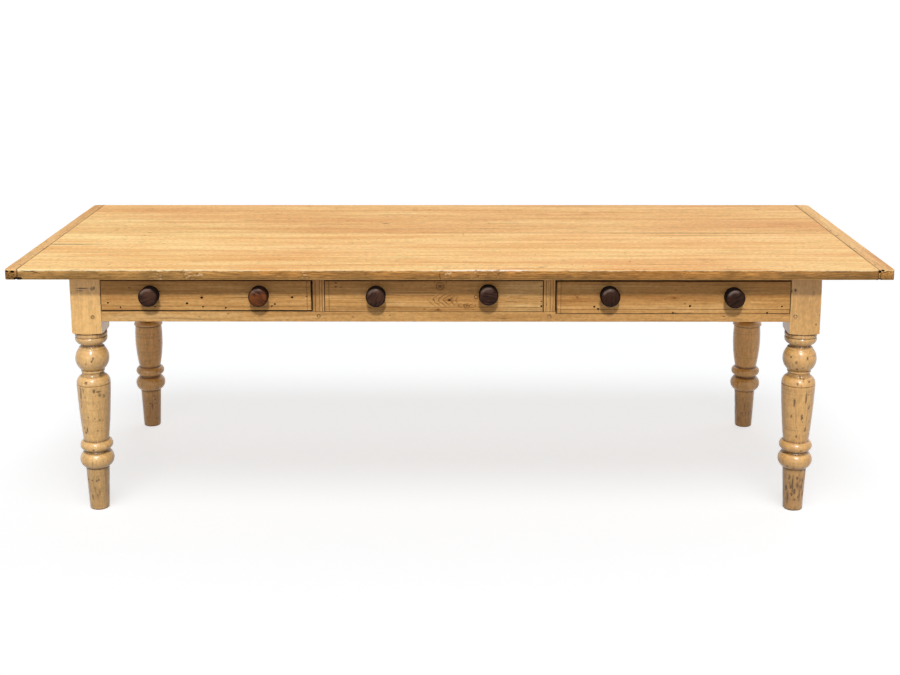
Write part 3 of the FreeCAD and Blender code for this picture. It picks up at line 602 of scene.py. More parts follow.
def wood(name, grain, early, late, pith=(0.05, -0.12), ring=3.4, shift=0.0, warp=0.012,
         contrast=0.5, streaks=0.5, broad=1.0, fine=1.0, knots=(), mottle=0.35, warmth=0.35,
         blotches=0.35, side=None, flecks=(), painted_glint=None, marks=(), circles=(), chevrons=(),
         dark_bands=(), lines=0.4, specks=0.0, fades=(), wear=0.35, pale=(0.9, 0.62, 0.3),
         rough=0.45, gloss=0.28, coat=0.0):
    """Sawn softwood with its rings, knots, marks, worn pale arrises and dirt, and on some pieces painted
    shade, shadow, light or glint.

    ring is a growth ring's width in millimetres; warmth is how much more the mottling turns the
    hue than the brightness; broad and fine weigh the wide streaks and the finest fibres. knots
    are (x, y, z, radius); marks (x, y, z, half length, half width, strength); circles (x, y, z,
    radius, half width, strength); chevrons (x, z, slope, reach, half height, pitch, strength) of
    pointed figure; dark_bands (axis, position, half width, strength) of joints and of painted
    shadow; fades (axis, start, end, tint), some of which paint shadow or light. side is the colour
    of a top board's edges, flecks (x, half length) their torn stretches and painted_glint
    (x, half length) a stretch of arris painted almost white as a glint; coat is the weight of a
    coat of wax.
    """
    paint = Wood(name, grain, shift, warp)
    colour = paint.figure(early, late, pale, pith, ring * MM, contrast, streaks, broad, fine, knots)
    colour = paint.mottled(colour, mottle, warmth, blotches)
    if side is not None:
        colour = paint.board_edge(colour, side, pale, flecks)
    paint.scars(marks, circles, chevrons, dark_bands, lines, specks)
    for axis, start, end, tint in fades:
        colour = paint.mix(paint.step(paint.parts[axis], start, end), colour, tint, "MULTIPLY")
    colour = paint.mix(paint.times(paint.mask("wear"), wear), colour, pale)
    # A painted glint along a stretch of the front arris.
    if painted_glint is not None:
        colour = paint.painted_arris_glint(colour, *painted_glint)
    # Marks, dirt, darker hollows and any painted shadow bands gathered in dark are painted here.
    colour = paint.mix(paint.dark, colour, paint.DARK)
    roughness = paint.scaled(paint.patch, 0.16, rough - 0.08)
    roughness = paint.scaled(paint.dark, 0.3, roughness, clamp=True)
    height = paint.scaled(paint.latewood, 0.35, paint.times(paint.fibre, 0.6))
    height = paint.minus(height, paint.dark)
    return paint.finish(colour, roughness, height, 0.35 * MM, 0.6, Specular_IOR_Level=gloss,
                        Coat_Weight=coat, Coat_Roughness=0.15)


def dark_hole():
    """The inside of nail holes, splits and rotten pockets."""
    paint = Paint("old_dirt")
    paint.place = paint.put("TexCoord", out=3)
    grain = paint.noise((400, 400, 400), 3)
    colour = paint.mix(grain, (0.012, 0.007, 0.004), (0.05, 0.027, 0.012))
    return paint.finish(colour, paint.scaled(grain, 0.2, 0.7), grain, 0.2 * MM,
                        Specular_IOR_Level=0.1)


def mahogany(name, grain_turn, early, late, shift):
    """Dark polished hardwood with open pores, for the knobs, with their painted shade and painted
    highlight.
    """
    paint = Paint(name)
    moved = paint.vector("ADD", paint.put("TexCoord", out=3), (shift, 0, 0.7 * shift))
    paint.place = paint.put("Mapping", moved, None, (0, grain_turn, 0))
    figure = paint.noise((25, 150, 260), 4, 0.65)
    figure = paint.scaled(paint.noise((28, 28, 28)), 0.45, figure)
    pores = paint.step(paint.noise((120, 800, 1500)), 0.58, 0.7)
    grime = paint.mask("grime")
    colour = paint.mix(paint.step(figure, 0.56, 0.8), early, late)
    colour = paint.mix(paint.times(pores, 0.7), colour, (0.006, 0.003, 0.002))
    # Painted shade: the sides and waist that the knob's mesh marks are mixed toward near black.
    colour = paint.mix(paint.times(grime, 0.9), colour, (0.004, 0.002, 0.0015))
    worn_spot = paint.step(paint.noise((45, 90, 90), 3), 0.35, 0.65)
    worn_spot = paint.times(paint.mask("wear"), worn_spot)
    colour = paint.mix(paint.times(worn_spot, 0.3), colour, np.multiply(late, 1.3))
    # Painted highlight: the pale arc that the knob's mesh marks on the face's rim.
    rubbed = paint.times(paint.mask("rub"), paint.step(worn_spot, 0.0, 0.6, 0.55, 1.0))
    colour = paint.mix(rubbed, colour, (0.3, 0.21, 0.17))
    roughness = paint.scaled(grime, 0.35, paint.scaled(pores, 0.3, 0.3))
    return paint.finish(colour, roughness, paint.minus(1.0, pores), 0.12 * MM, 0.7,
                        Specular_IOR_Level=0.07, Coat_Weight=0.05, Coat_Roughness=0.1)


def old_iron():
    """Dull dark iron with rust in patches, for nails and screws."""
    paint = Paint("old_iron")
    paint.place = paint.put("TexCoord", out=3)
    rust = paint.step(paint.noise((300, 300, 300), 4), 0.42, 0.62)
    colour = paint.mix(rust, (0.09, 0.08, 0.075), (0.12, 0.05, 0.022))
    return paint.finish(colour, paint.scaled(rust, 0.3, 0.45), rust, 0.15 * MM, Metallic=0.6)


dirt = dark_hole()


# Table top

DOWN = (0, 0, -1)
INWARD = (0, 1, 0)
FRONT_PLANK = ((0.92, 0.585, 0.23), (0.73, 0.31, 0.066))
REAR_PLANK = ((0.835, 0.5, 0.182), (0.635, 0.258, 0.053))
CLAMP = ((0.82, 0.5, 0.2), (0.58, 0.265, 0.062))
PLANK_CUTS = ((5, 26, 6), 3.6)
PLANK_LOOK = {
    "gloss": 0.06, "contrast": 0.4, "mottle": 0.3, "side": (0.31, 0.139, 0.036), "specks": 0.2,
    "wear": 0.55, "pale": (0.93, 0.7, 0.4), "warmth": 0.9, "fine": 0.8,
    "dark_bands": [(1, seam, 2.2 * MM, 0.6), (0, plank_left, 2.4 * MM, 0.8), (0, plank_right, 3.0 * MM, 1.0)]}
SEAM_MARKS = [(0.0, seam, 1.9, 0.003, 0.75), (0.78, seam, 0.62, 0.007, 1.0)]


def edge_crack(x, steps, width, depth):
    """A crack in the top's front edge; steps are (along, below the top), all in millimetres."""
    path = [(x + along * MM, front_edge, top_level - down * MM) for along, down in steps]
    return crack(path, INWARD, width * MM, depth * MM)


def edge_pits(x, *rows):
    """Holes in the top's front edge: (along, below the top, radius, depth, stretch)."""
    return [pit(x + along * MM, front_edge, top_level - down * MM, radius * MM, depth * MM, stretch)
            for along, down, radius, depth, stretch in rows]


front_plank = worn_board(
    "top_front_plank", *PLANK_CUTS, 11, joints=("+Y", "-X", "+X"),
    X=(plank_left, plank_right), Y=(front_edge, seam), Z=(underside, top_level))
carve(front_plank, [
    crack(on_top((plank_left - 10 * MM, -0.1668), (-1.15, -0.1655), (-1.035, -0.166)),
          DOWN, 2.4 * MM, 5 * MM),
    edge_crack(plank_left, ((8, 3), (30, 7), (46, 5), (68, 13)), 2.6, 6),
    edge_crack(plank_left, ((32, 13), (60, 10)), 1.8, 4),
    edge_crack(-0.026, ((0, 8), (3, 32)), 2.2, 5),
    *edge_pits(plank_left, (6, 27, 4.5, 10, 1.8))])
dressed(front_plank, "top_front_plank", wood(
    "pine_front_plank", "X", *FRONT_PLANK, pith=(-0.31, 0.6), streaks=0.68,
    fades=[(0, -0.3, -0.95, (1.07, 1.19, 1.3))],
    marks=on_top(
        (-1.13, -0.348, 0.05, 0.004, 0.5), (0.266, -0.481, 0.02, 0.01, 0.6),
        (1.074, -0.288, 0.06, 0.005, 0.3), (0.79, -0.03, 0.22, 0.02, 0.28),
        (-0.124, -0.141, 0.03, 0.01, 0.25), (-1.19, -0.166, 0.17, 0.007, 1.6), *SEAM_MARKS),
    flecks=[(-0.829, 0.016), (-0.733, 0.045), (-0.41, 0.012), (-0.002, 0.012), (0.076, 0.018),
            (0.14, 0.01)],
    painted_glint=(0.092, 0.16), **PLANK_LOOK))

rear_plank = worn_board(
    "top_rear_plank", *PLANK_CUTS, 23, joints=("-Y", "-X", "+X"),
    X=(plank_left, plank_right), Z=(underside, top_level))
dressed(rear_plank, "top_rear_plank", wood(
    "pine_rear_plank", "X", *REAR_PLANK, pith=(0.33, 0.5), shift=3.1, streaks=0.6,
    fades=[(0, -0.35, -0.9, (1.06, 1.13, 1.2))],
    marks=on_top(
        (-0.966, 0.012, 0.012, 0.008, 0.8), (-0.595, 0.334, 0.014, 0.012, 0.6),
        (-0.34, 0.298, 0.05, 0.008, 0.55), (-0.214, 0.17, 0.02, 0.012, 0.75),
        (-0.115, 0.076, 0.16, 0.006, 0.4), (0.111, 0.085, 0.12, 0.006, 0.5),
        (1.069, 0.419, 0.02, 0.015, 0.4), *SEAM_MARKS),
    **PLANK_LOOK))


def clamp_corners(node, side):
    """What rounds a clamp's two outer corners in plan: a shaper and the extra cuts it needs."""
    low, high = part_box(node)
    outer = high.x if side > 0 else low.x

    def shape(flat, points):
        for end, y, radius in ((-1, low.y, 6.0 * MM), (1, high.y, 17.0 * MM)):
            centre = np.array([outer - side * radius, y - end * radius])
            offset = (points[:, :2] - centre) * np.array([side, end])
            length = np.linalg.norm(offset, axis=1)
            share = offset.max(axis=1) / np.maximum(length, 1e-9)
            share = np.where((offset > 0).all(axis=1), share, 1)
            points[:, :2] = centre + (points[:, :2] - centre) * share[:, None]

    steps = np.arange(1, 10) * 2.0 * MM
    along = np.concatenate([low.y + steps[:4], high.y - steps])
    return {"shape": shape, "extra": (outer - side * steps, along, ())}


for node, side, joint, seed in (("clamp_left", -1, "+X", 31), ("clamp_right", 1, "-X", 37)):
    clamp = worn_board(node, (6, 5, 5), 3.2, seed, dent=1.0, joints=(joint,),
                       **clamp_corners(node, side))
    low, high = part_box(node)
    if side < 0:
        plugs = edge_pits(low.x, (7, 6, 3.0, 7, 1.6), (23, 7, 3.4, 10, 2.0))
        plugs += edge_pits(high.x, (-4, 28, 5.0, 9, 1.6))
        plugs += edge_pits(low.x, *[(along, down, size, 3, 1.3) for along, down, size in (
            (5, 13, 1.5), (11, 17, 1.7), (16, 11, 1.3), (19, 22, 1.6), (8, 24, 1.3), (26, 16, 1.5),
            (13, 27, 1.4), (23, 26, 1.2))])
    else:
        plugs = [edge_crack(low.x, ((8, -2), (6, 12), (9, 33)), 3.4, 8),
                 edge_crack(low.x, ((7, 13), (21, 4), (32, 5)), 3.0, 7),
                 *edge_pits(low.x, (3, 30, 4.6, 7, 1.8), (2, 6, 4.0, 7, 1.4), (12, 3, 3.0, 6, 1.6))]
    carve(clamp, plugs)
    dressed(clamp, node, wood(
        "pine_" + node, "Y", *CLAMP, gloss=0.06, pith=(0.02, 0.71), ring=2.6, shift=seed,
        streaks=0.6, mottle=0.4, side=(0.335, 0.16, 0.043), specks=0.5, wear=0.5, warmth=0.8,
        dark_bands=[(0, high.x if side < 0 else low.x, 2.6 * MM, 0.85)]))


# Legs

LEG_EARLY = (0.66, 0.4, 0.15)
LEG_LATE = (0.45, 0.232, 0.067)
LEFT_DENTS = [
    (-11, 403, 5, 4.5, 4), (29, 422, 4, 7, 2.5), (-30, 369, 2.8, 22, 1.6), (-21, 381, 2.4, 9, 1.2),
    (12, 379, 4.2, 7, 1.6), (25, 376, 8, 3.2, 1.6), (27, 365, 3.2, 6, 1.6), (37, 360, 3, 7, 1.5),
    (-11, 297, 2.4, 3, 1), (10, 293, 2.4, 3, 1), (22, 287, 2.2, 3, 1), (-31, 326, 2.4, 4, 1),
    (14, 254, 2.4, 3, 1), (-26, 259, 2.8, 6, 1.4), (-16, 256, 2.6, 8, 1.4), (-22, 246, 3.4, 3.5, 1.4),
    (1, 196, 3.4, 3, 1.4), (-36, 147, 3.2, 3.6, 2.2), (-28, 139, 3, 3.4, 2.2), (-21, 138, 2.6, 3.2, 2.2),
    (-14, 139, 2.6, 3, 2.2), (-24, 95, 3.6, 3.4, 1.8), (-11, 95, 4, 3, 1.8), (3, 94, 3.6, 3.4, 1.8),
    (9, 97, 3, 4, 1.6), (-13, 42, 2.4, 10, 1.5), (3, 44, 2.4, 12, 1.5), (-4, 68, 2.4, 9, 1.2),
    (10, 470, 2.6, 5, 1.2), (14, 478, 2.4, 6, 1.2), (-8, 462, 2.6, 3, 1), (21, 690, 4.6, 7, 4)]
RIGHT_DENTS = [
    (14, 360, 2.8, 20, 1.5), (-20, 345, 2.8, 15, 1.4), (4, 300, 3.4, 12, 1.3), (-26, 300, 2.6, 7, 1.2),
    (18, 262, 2.6, 8, 1.3), (-8, 238, 3, 5, 1.3), (26, 330, 2.4, 6, 1.2), (-14, 402, 3, 5, 1.6),
    (22, 408, 3.2, 4, 1.6), (-20, 468, 2.8, 5, 1.3), (12, 480, 2.6, 6, 1.2), (0, 452, 2.8, 3, 1.1),
    (-10, 85, 2.8, 30, 1.8), (12, 60, 2.8, 28, 1.8), (-22, 40, 3.2, 20, 1.8), (2, 105, 3.2, 6, 1.6),
    (-20, 106, 2.8, 9, 1.6), (-16, 76, 3.4, 8, 1.8), (-4, 62, 3.2, 12, 1.8), (4, 82, 3, 8, 1.6),
    (18, 78, 3, 14, 1.6), (22, 52, 2.8, 10, 1.6), (-12, 52, 3, 7, 1.6), (-18, 88, 2.6, 6, 1.4),
    (8, 44, 3.2, 5, 1.6), (-2, 36, 2.8, 5, 1.4), (12, 98, 2.6, 8, 1.4), (-26, 70, 2.8, 10, 1.6),
    (-4, 420, 3.4, 5, 1.8), (6, 416, 3, 3.4, 1.6), (-16, 446, 3, 4, 1.4), (16, 438, 4.4, 2.8, 1.6),
    (20, 96, 2.8, 8, 1.5), (-30, 145, 3, 3.5, 1.8), (-12, 140, 3, 3, 1.8), (16, 142, 3, 3, 1.8),
    (6, 196, 3.2, 3, 1.4)]
leg_face = left_leg.y - BLOCK_HALF
legs = {
    # The front left leg's tones and block are lighter than the right's: partly painted light from the
    # left, partly paler wood.
    "leg_front_left": {
        "seed": 41, "tones": (1.11, 1.11, 1.11), "block_tone_and_light": (1.24, 1.245, 1.2),
        "marks": on_face(leg_face, (-1.066, 0.691, 0.004, 0.03, 1.2), (-1.074, 0.684, 0.003, 0.022, 0.9),
                         (-1.032, 0.692, 0.008, 0.005, 1.5)),
        "pegs": on_face(leg_face, (-1.0397, 0.6044, 0.0048, 0.0018, 0.95)),
        "dents": LEFT_DENTS},
    "leg_front_right": {
        "seed": 53, "tones": (1.02, 0.95, 0.86), "block_tone_and_light": (0.98, 0.97, 0.94),
        "marks": on_face(leg_face, (1.0043, 0.6862, 0.008, 0.007, 1.2),
                         (0.9931, 0.6838, 0.008, 0.006, 1.1)),
        "pegs": on_face(leg_face, (1.008, 0.6076, 0.0047, 0.0017, 0.9)),
        "dents": RIGHT_DENTS},
    # The rear legs' raised tones are painted light, for the front light that the table top keeps off
    # them.
    "leg_rear_left": {"seed": 67, "tones": (1.5, 1.33, 1.04)},
    "leg_rear_right": {"seed": 79, "tones": (1.54, 1.36, 1.04)}}


def square_reach(angle, half, arris):
    """Distance from the middle of a round-cornered square to its side, along an angle."""
    folded = np.abs((angle + pi / 4) % (pi / 2) - pi / 4)
    inner = half - arris
    along = inner * (np.cos(folded) + np.sin(folded))
    across = inner * (np.cos(folded) - np.sin(folded))
    in_arc = along + np.sqrt(np.maximum(arris ** 2 - across ** 2, 0))
    return np.where(half * np.tan(folded) > inner, in_arc, half / np.cos(folded)), folded


def leg(node, seed, dents):
    """A turned leg with a square head, read from its node's outline and worn all over.

    dents are gouges on its front, in millimetres: (offset from the axis, level, half width, half
    height, depth).
    """
    centre = middle(node)
    rounding_top = block_bottom + 12 * MM
    known_levels, known_radii = outline(node, 2, rounding_top)
    levels = np.concatenate([
        [0, 0.7 * MM, 1.4 * MM, 2.2 * MM], np.arange(4 * MM, 132 * MM, 2.2 * MM),
        np.arange(132.4 * MM, block_bottom - 0.4 * MM, 1.4 * MM),
        [block_bottom - 0.1 * MM, block_bottom + 0.1 * MM],
        np.arange(block_bottom + 0.8 * MM, rounding_top, 0.9 * MM),
        np.linspace(rounding_top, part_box(node)[1].z, 40)])
    profile = np.interp(levels, known_levels, known_radii)
    fine = np.arange(0, rounding_top, 0.5 * MM)
    kernel = np.exp(-0.5 * (np.arange(-24, 25) / 8.0) ** 2)
    padded = np.pad(np.interp(fine, known_levels, known_radii), 24, mode="edge")
    blurred = np.convolve(padded, kernel / kernel.sum(), mode="valid")
    bulge = profile - np.interp(levels, fine, blurred)

    quadrant = np.radians(np.concatenate([[0, 0.5, 1.0, 1.5, 2.1], np.linspace(3.2, 45, 14)]))
    quadrant = np.concatenate([-quadrant[:0:-1], quadrant])[1:]
    angles = np.concatenate([quadrant + radians(45 + 90 * turn) for turn in range(4)])
    angle, level = np.meshgrid(angles, levels)
    around = np.column_stack([np.cos(angle).ravel(), np.sin(angle).ravel(), level.ravel() * 6])
    arris = 2.2 * MM * (1 + 0.45 * noise(around, (1.2, 1.2, 0.3), seed)).reshape(angle.shape)
    side, folded = square_reach(angle, BLOCK_HALF, arris)
    radius = np.where(level > block_bottom, side, 1.0)
    radius = np.where(level < rounding_top, np.minimum(radius, profile[:, None]), radius)

    up = level.ravel()
    place = np.column_stack([centre.x + (radius * np.cos(angle)).ravel(),
                             centre.y + (radius * np.sin(angle)).ravel(), up])
    foot = 1 - smooth_step(up, 0.11, 0.2)
    waves = 0.5 + 0.5 * noise(place, 0.035, seed + 1)
    bruises = above(noise(place, 0.012, seed + 2), 0.4)
    gouges = above(noise(place, (0.006, 0.006, 0.026), seed + 3), 0.42)
    nicks = above(noise(place, 0.0035, seed + 4), 0.55) * above(noise(place, 0.05, seed + 5), 0.0)
    corner = unit(1 - (pi / 4 - folded.ravel()) / radians(3.0))
    corner = corner * (up > block_bottom)
    chips = above(noise(place, 0.011, seed + 6), 0.2) * np.maximum(corner, foot * (up < 0.006))
    lumps = noise(place, (0.009, 0.009, 0.013), seed + 7)
    depth = MM * (0.12 * waves + 0.16 * lumps + 0.5 * bruises + gouges * (0.35 + 1.5 * foot)
                  + 0.9 * nicks + 1.2 * chips)
    dented = np.zeros(len(place))
    for across, rise, half_width, half_height, deep in dents:
        beside = (place[:, 0] - centre.x - across * MM) / (half_width * MM)
        along = (up - rise * MM) / (half_height * MM)
        away = np.hypot(beside, along) * (1 + 0.25 * noise(place, 0.004, seed + 8))
        away = np.where(place[:, 1] < centre.y, away, 9)
        depth += deep * MM * unit(1 - away ** 2)
        dented = np.maximum(dented, unit(2.4 - 2.2 * away))

    bulge = np.repeat(np.where(levels < block_bottom, bulge, 0), len(angles))
    turning = above(noise(np.column_stack([up] * 3), 0.0045, seed + 9), 0.3)
    turning *= (0.55 + 0.45 * noise(place, 0.02, seed + 10)) * (up < block_bottom)
    # Darker in the turned hollows by how deep they are; dirt in the gouges, nicks, chips, lathe lines
    # and dents; and darker along the foot's bottom 6 mm.
    grime = unit(-bulge / (1.6 * MM)) * 0.85 + gouges * (0.25 + 0.75 * foot)
    grime = grime + nicks + 0.7 * chips + 0.55 * turning
    grime = grime + 0.8 * (1 - smooth_step(up, 0, 0.006)) + 1.2 * dented
    wear = np.maximum(unit(bulge / (2.6 * MM)), corner) * (0.6 + 0.4 * waves)
    return revolved(node, radius - depth.reshape(radius.shape), angle, level, 2,
                    wear=wear, grime=unit(grime))


for node, look in legs.items():
    centre = middle(node)
    fades = [(2, 0.17, 0.09, (0.7, 0.69, 0.69))]
    # The block's own tone, and on the left leg painted light from the left.
    if "block_tone_and_light" in look:
        fades.append((2, block_bottom, block_bottom + 4 * MM, look["block_tone_and_light"]))
    dressed(leg(node, look["seed"], look.get("dents", ())), node, wood(
        "pine_" + node, "Z", np.multiply(LEG_EARLY, look["tones"]),
        np.multiply(LEG_LATE, look["tones"]), pith=(centre.x + 0.012, centre.y + 0.02), ring=3.1,
        shift=0.31 * look["seed"], warp=0.014, contrast=0.32, streaks=0.34, mottle=0.3, blotches=0.3,
        marks=look.get("marks", ()), circles=look.get("pegs", ()), lines=0.35, specks=0.6,
        fades=fades, rough=0.34, gloss=0.4, coat=0.5))


# Aprons, rails and dividers

FRAME = ((0.6, 0.325, 0.106), (0.39, 0.187, 0.05))
rail_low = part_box("front_lower_rail")[0]
divider_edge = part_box("right_drawer_front")[0].x - 3.5 * MM
RIGHT_RAIL_DROP = 7.0 * MM


def stepped(flat, points):
    """Lower the top of the rail under the right drawer."""
    lowered = (flat[:, 0] > divider_edge) & (flat[:, 2] > rail_low.z + 12 * MM)
    points[:, 2] -= np.where(lowered, RIGHT_RAIL_DROP, 0)


rail = worn_board("front_lower_rail", (6, 9, 6), 1.6, 91, dent=0.8, joints=("-X", "+X"),
                  X=between_legs, shape=stepped,
                  extra=((divider_edge - 0.1 * MM, divider_edge + 0.1 * MM), (), ()))
dressed(rail, "front_lower_rail", wood(
    "pine_lower_rail", "X", *FRAME, pith=(-0.4, 0.52), ring=2.8, shift=5.7, contrast=0.6,
    streaks=0.6, mottle=0.3, specks=0.5, fades=[(0, 0.3, 0.45, (1.1, 1.1, 1.12))],
    marks=on_face(rail_low.y, (0.155, 0.601, 0.03, 0.003, 0.6), (-0.28, 0.606, 0.006, 0.004, 0.8)),
    circles=on_face(rail_low.y, (-0.3799, 0.6079, 0.0047, 0.0017, 0.95),
                    (0.2924, 0.6074, 0.0047, 0.0017, 0.95)),
    dark_bands=[(2, opening_bottom, 1.6 * MM, 0.8)]))

for node, seed in (("divider_left", 97), ("divider_right", 101)):
    low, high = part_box(node)
    centre = middle(node).x
    grooves = [("X", centre + offset * MM, width * MM, depth * MM)
               for offset, width, depth in ((-9.5, 1.6, 0.7), (3, 1.4, 0.6), (10.5, 1.6, 0.7))]
    post = worn_board(node, (5, 8, 6), 1.2, seed, joints=("-Z", "+Z"), grooves=grooves,
                      Z=(opening_bottom, opening_top))
    dressed(post, node, wood(
        "pine_" + node, "Z", *FRAME, pith=(centre + 0.05, front_face + 0.09), ring=3.0,
        shift=seed * 0.1, contrast=0.55, mottle=0.4, specks=0.3,
        dark_bands=[(0, low.x, 1.6 * MM, 0.9), (0, high.x, 1.6 * MM, 0.9)]))

apron = worn_board("rear_apron", (12, 9, 14), 1.4, 103, joints=("-X", "+X", "+Z"), X=between_legs)
dressed(apron, "rear_apron", wood(
    "pine_rear_apron", "X", *FRAME, pith=(0.45, 0.63), ring=3.6, shift=9.3, mottle=0.5, specks=0.3,
    knots=on_face(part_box("rear_apron")[1].y, (-0.52, 0.665, 0.011), (0.31, 0.694, 0.008),
                  (0.74, 0.633, 0.009))))

for node, seed, knot_place in (("end_apron_left", 107, 0.11), ("end_apron_right", 109, -0.16)):
    low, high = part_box(node)
    outer = low.x if "left" in node else high.x
    apron = worn_board(node, (9, 12, 12), 1.4, seed, joints=("-Y", "+Y", "+Z"),
                       Y=(left_leg.y + BLOCK_HALF, rear_leg.y - BLOCK_HALF))
    dressed(apron, node, wood(
        "pine_" + node, "Y", *FRAME, pith=(outer * 0.93, 0.62), shift=seed * 0.13, mottle=0.5,
        specks=0.3, knots=[(outer, knot_place, 0.66, 0.01)]))


# Drawer fronts

FRONT_EARLY = (0.585, 0.315, 0.102)
FRONT_LATE = (0.36, 0.158, 0.038)
BEAD_STRIP = 12.8 * MM
QUIRK_WIDTH = 1.8 * MM
QUIRK_DEPTH = 1.4 * MM
FRONT_INSET = 0.15 * MM
middle_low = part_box("middle_drawer_front")[0].z

drawers = {
    "left": {
        "beads": ("bottom", "right"), "tone": 1.06,
        "holes": [(-993, 647.6, 1.7), (-957.3, 634.6, 1.6), (-856.2, 637.1, 1.4), (-762.8, 646.5, 2.3),
                  (-719.4, 663.4, 2.2), (-716.3, 636.3, 1.7), (-650.3, 633.3, 1.8), (-516.2, 638.5, 1.7),
                  (-506.9, 644.2, 1.7), (-456.2, 665.0, 2.0)],
        "edges": {"+X": (3.2, 1.1), "-X": (1.8, 1.0), "-Z": (2.4, 1.15), "+Z": (1.5, 0.7)},
        "look": {
            # This fade is a painted shadow: the front is darkened above about z 0.668 m, where the top's
            # shadow falls.
            "pith": (-0.38, 0.45), "shift": 1.3, "fades": [(2, 0.668, 0.68, (0.83, 0.83, 0.82))],
            "knots": on_front((-0.7194, 0.6634, 0.0035), (-0.4562, 0.665, 0.003)),
            "marks": on_front((-0.88, 0.7, 0.05, 0.004, 0.35))}},
    "middle": {
        "beads": ("bottom", "left"), "tone": 1.07,
        "holes": [(0.4, 656.6, 1.8), (268.7, 639.0, 1.8), (268.0, 653.0, 1.3)],
        # A painted shadow: a darker strip along the bottom of the front, below the bead.
        "shadow_band": [(2, middle_low + 6.5 * MM, 8.5 * MM, 0.22)],
        "edges": {"+X": (2.6, 1.1), "-X": (1.8, 0.95), "-Z": (0.9, 0.6), "+Z": (2.4, 0.9)},
        "look": {
            "pith": (-0.425, 0.665), "shift": 2.9,
            # The second fade is a painted shadow of the top, as on the left drawer; the first makes the
            # right end's wood paler.
            "fades": [(0, 0.1, 0.19, (1.2, 1.36, 1.62)), (2, 0.668, 0.68, (0.86, 0.86, 0.86))],
            "knots": on_front((0.0004, 0.6566, 0.006), (-0.0318, 0.6277, 0.005),
                             (-0.0258, 0.6982, 0.008), (0.052, 0.64, 0.004)),
            "marks": on_front(
                (-0.03, 0.6277, 0.03, 0.003, 0.6), (0.175, 0.652, 0.03, 0.0016, 0.9),
                (0.194, 0.65, 0.008, 0.004, 0.7), (0.2687, 0.6985, 0.01, 0.0025, 1.0),
                (0.268, 0.6635, 0.003, 0.003, 0.7)),
            "circles": on_front((0.079, 0.666, 0.0052, 0.0014, 0.85),
                               (-0.0258, 0.6982, 0.011, 0.002, 0.6)),
            "chevrons": [(-0.074, 0.656, 1.5, 0.058, 0.027, 0.0165, 0.55),
                         (0.004, 0.64, 2.0, 0.045, 0.012, 0.015, 0.5)]}},
    "right": {
        "beads": ("bottom", "left"), "tone": 1.07,
        "holes": [(422.6, 637.0, 1.9), (433.6, 629.8, 2.0), (700.5, 639.0, 2.2), (651.3, 618.8, 1.7),
                  (925.1, 619.0, 1.6), (967.3, 637.9, 1.6)],
        "edges": {"-X": (3.8, 1.15), "+X": (1.8, 1.0), "-Z": (2.6, 1.15), "+Z": (1.6, 0.8)},
        "look": {
            # This fade is a painted shadow: the top of the front is darkened under the top's overhang.
            "pith": (-0.4, 0.4), "shift": 4.4, "fades": [(2, 0.668, 0.682, (0.78, 0.77, 0.72))],
            "knots": on_front((0.3721, 0.6652, 0.004), (0.6546, 0.6635, 0.004)),
            "marks": on_front((0.6, 0.655, 0.03, 0.002, 0.4))}}}

for name, drawer in drawers.items():
    node = name + "_drawer_front"
    low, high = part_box(node)
    grooves = []
    for side in drawer["beads"]:
        axis, place, share = {
            "bottom": ("Z", low.z + BEAD_STRIP, 0.75), "left": ("X", low.x + BEAD_STRIP, 0.5),
            "right": ("X", high.x - BEAD_STRIP, 0.5)}[side]
        grooves.append((axis, place, QUIRK_WIDTH, share * QUIRK_DEPTH))
    # The painted shadow band, if any, joins the dark lines along the front's edges.
    dark_bands = drawer.get("shadow_band", [])
    for (sign, letter), (width, force) in drawer["edges"].items():
        axis = AXES[letter]
        dark_bands.append((axis, (high if sign == "+" else low)[axis], width * MM, force))
    panel = worn_board(node, (7, 11, 7), 1.3, 113 + len(name), dent=0.5, grooves=grooves,
                       X=(low.x + FRONT_INSET, high.x - FRONT_INSET))
    carve(panel, [pit(x * MM, front_face, z * MM, 1.55 * size * MM, 4 * MM, 1.15)
                  for x, z, size in drawer["holes"]])
    dressed(panel, node, wood(
        "pine_" + node, "X", np.multiply(FRONT_EARLY, drawer["tone"]),
        np.multiply(FRONT_LATE, drawer["tone"]), ring=2.9, contrast=0.75, streaks=0.7, broad=0.4,
        mottle=0.25, blotches=0.3, dark_bands=dark_bands, lines=0.55, specks=0.15, gloss=0.2,
        **drawer["look"]))


# Knobs

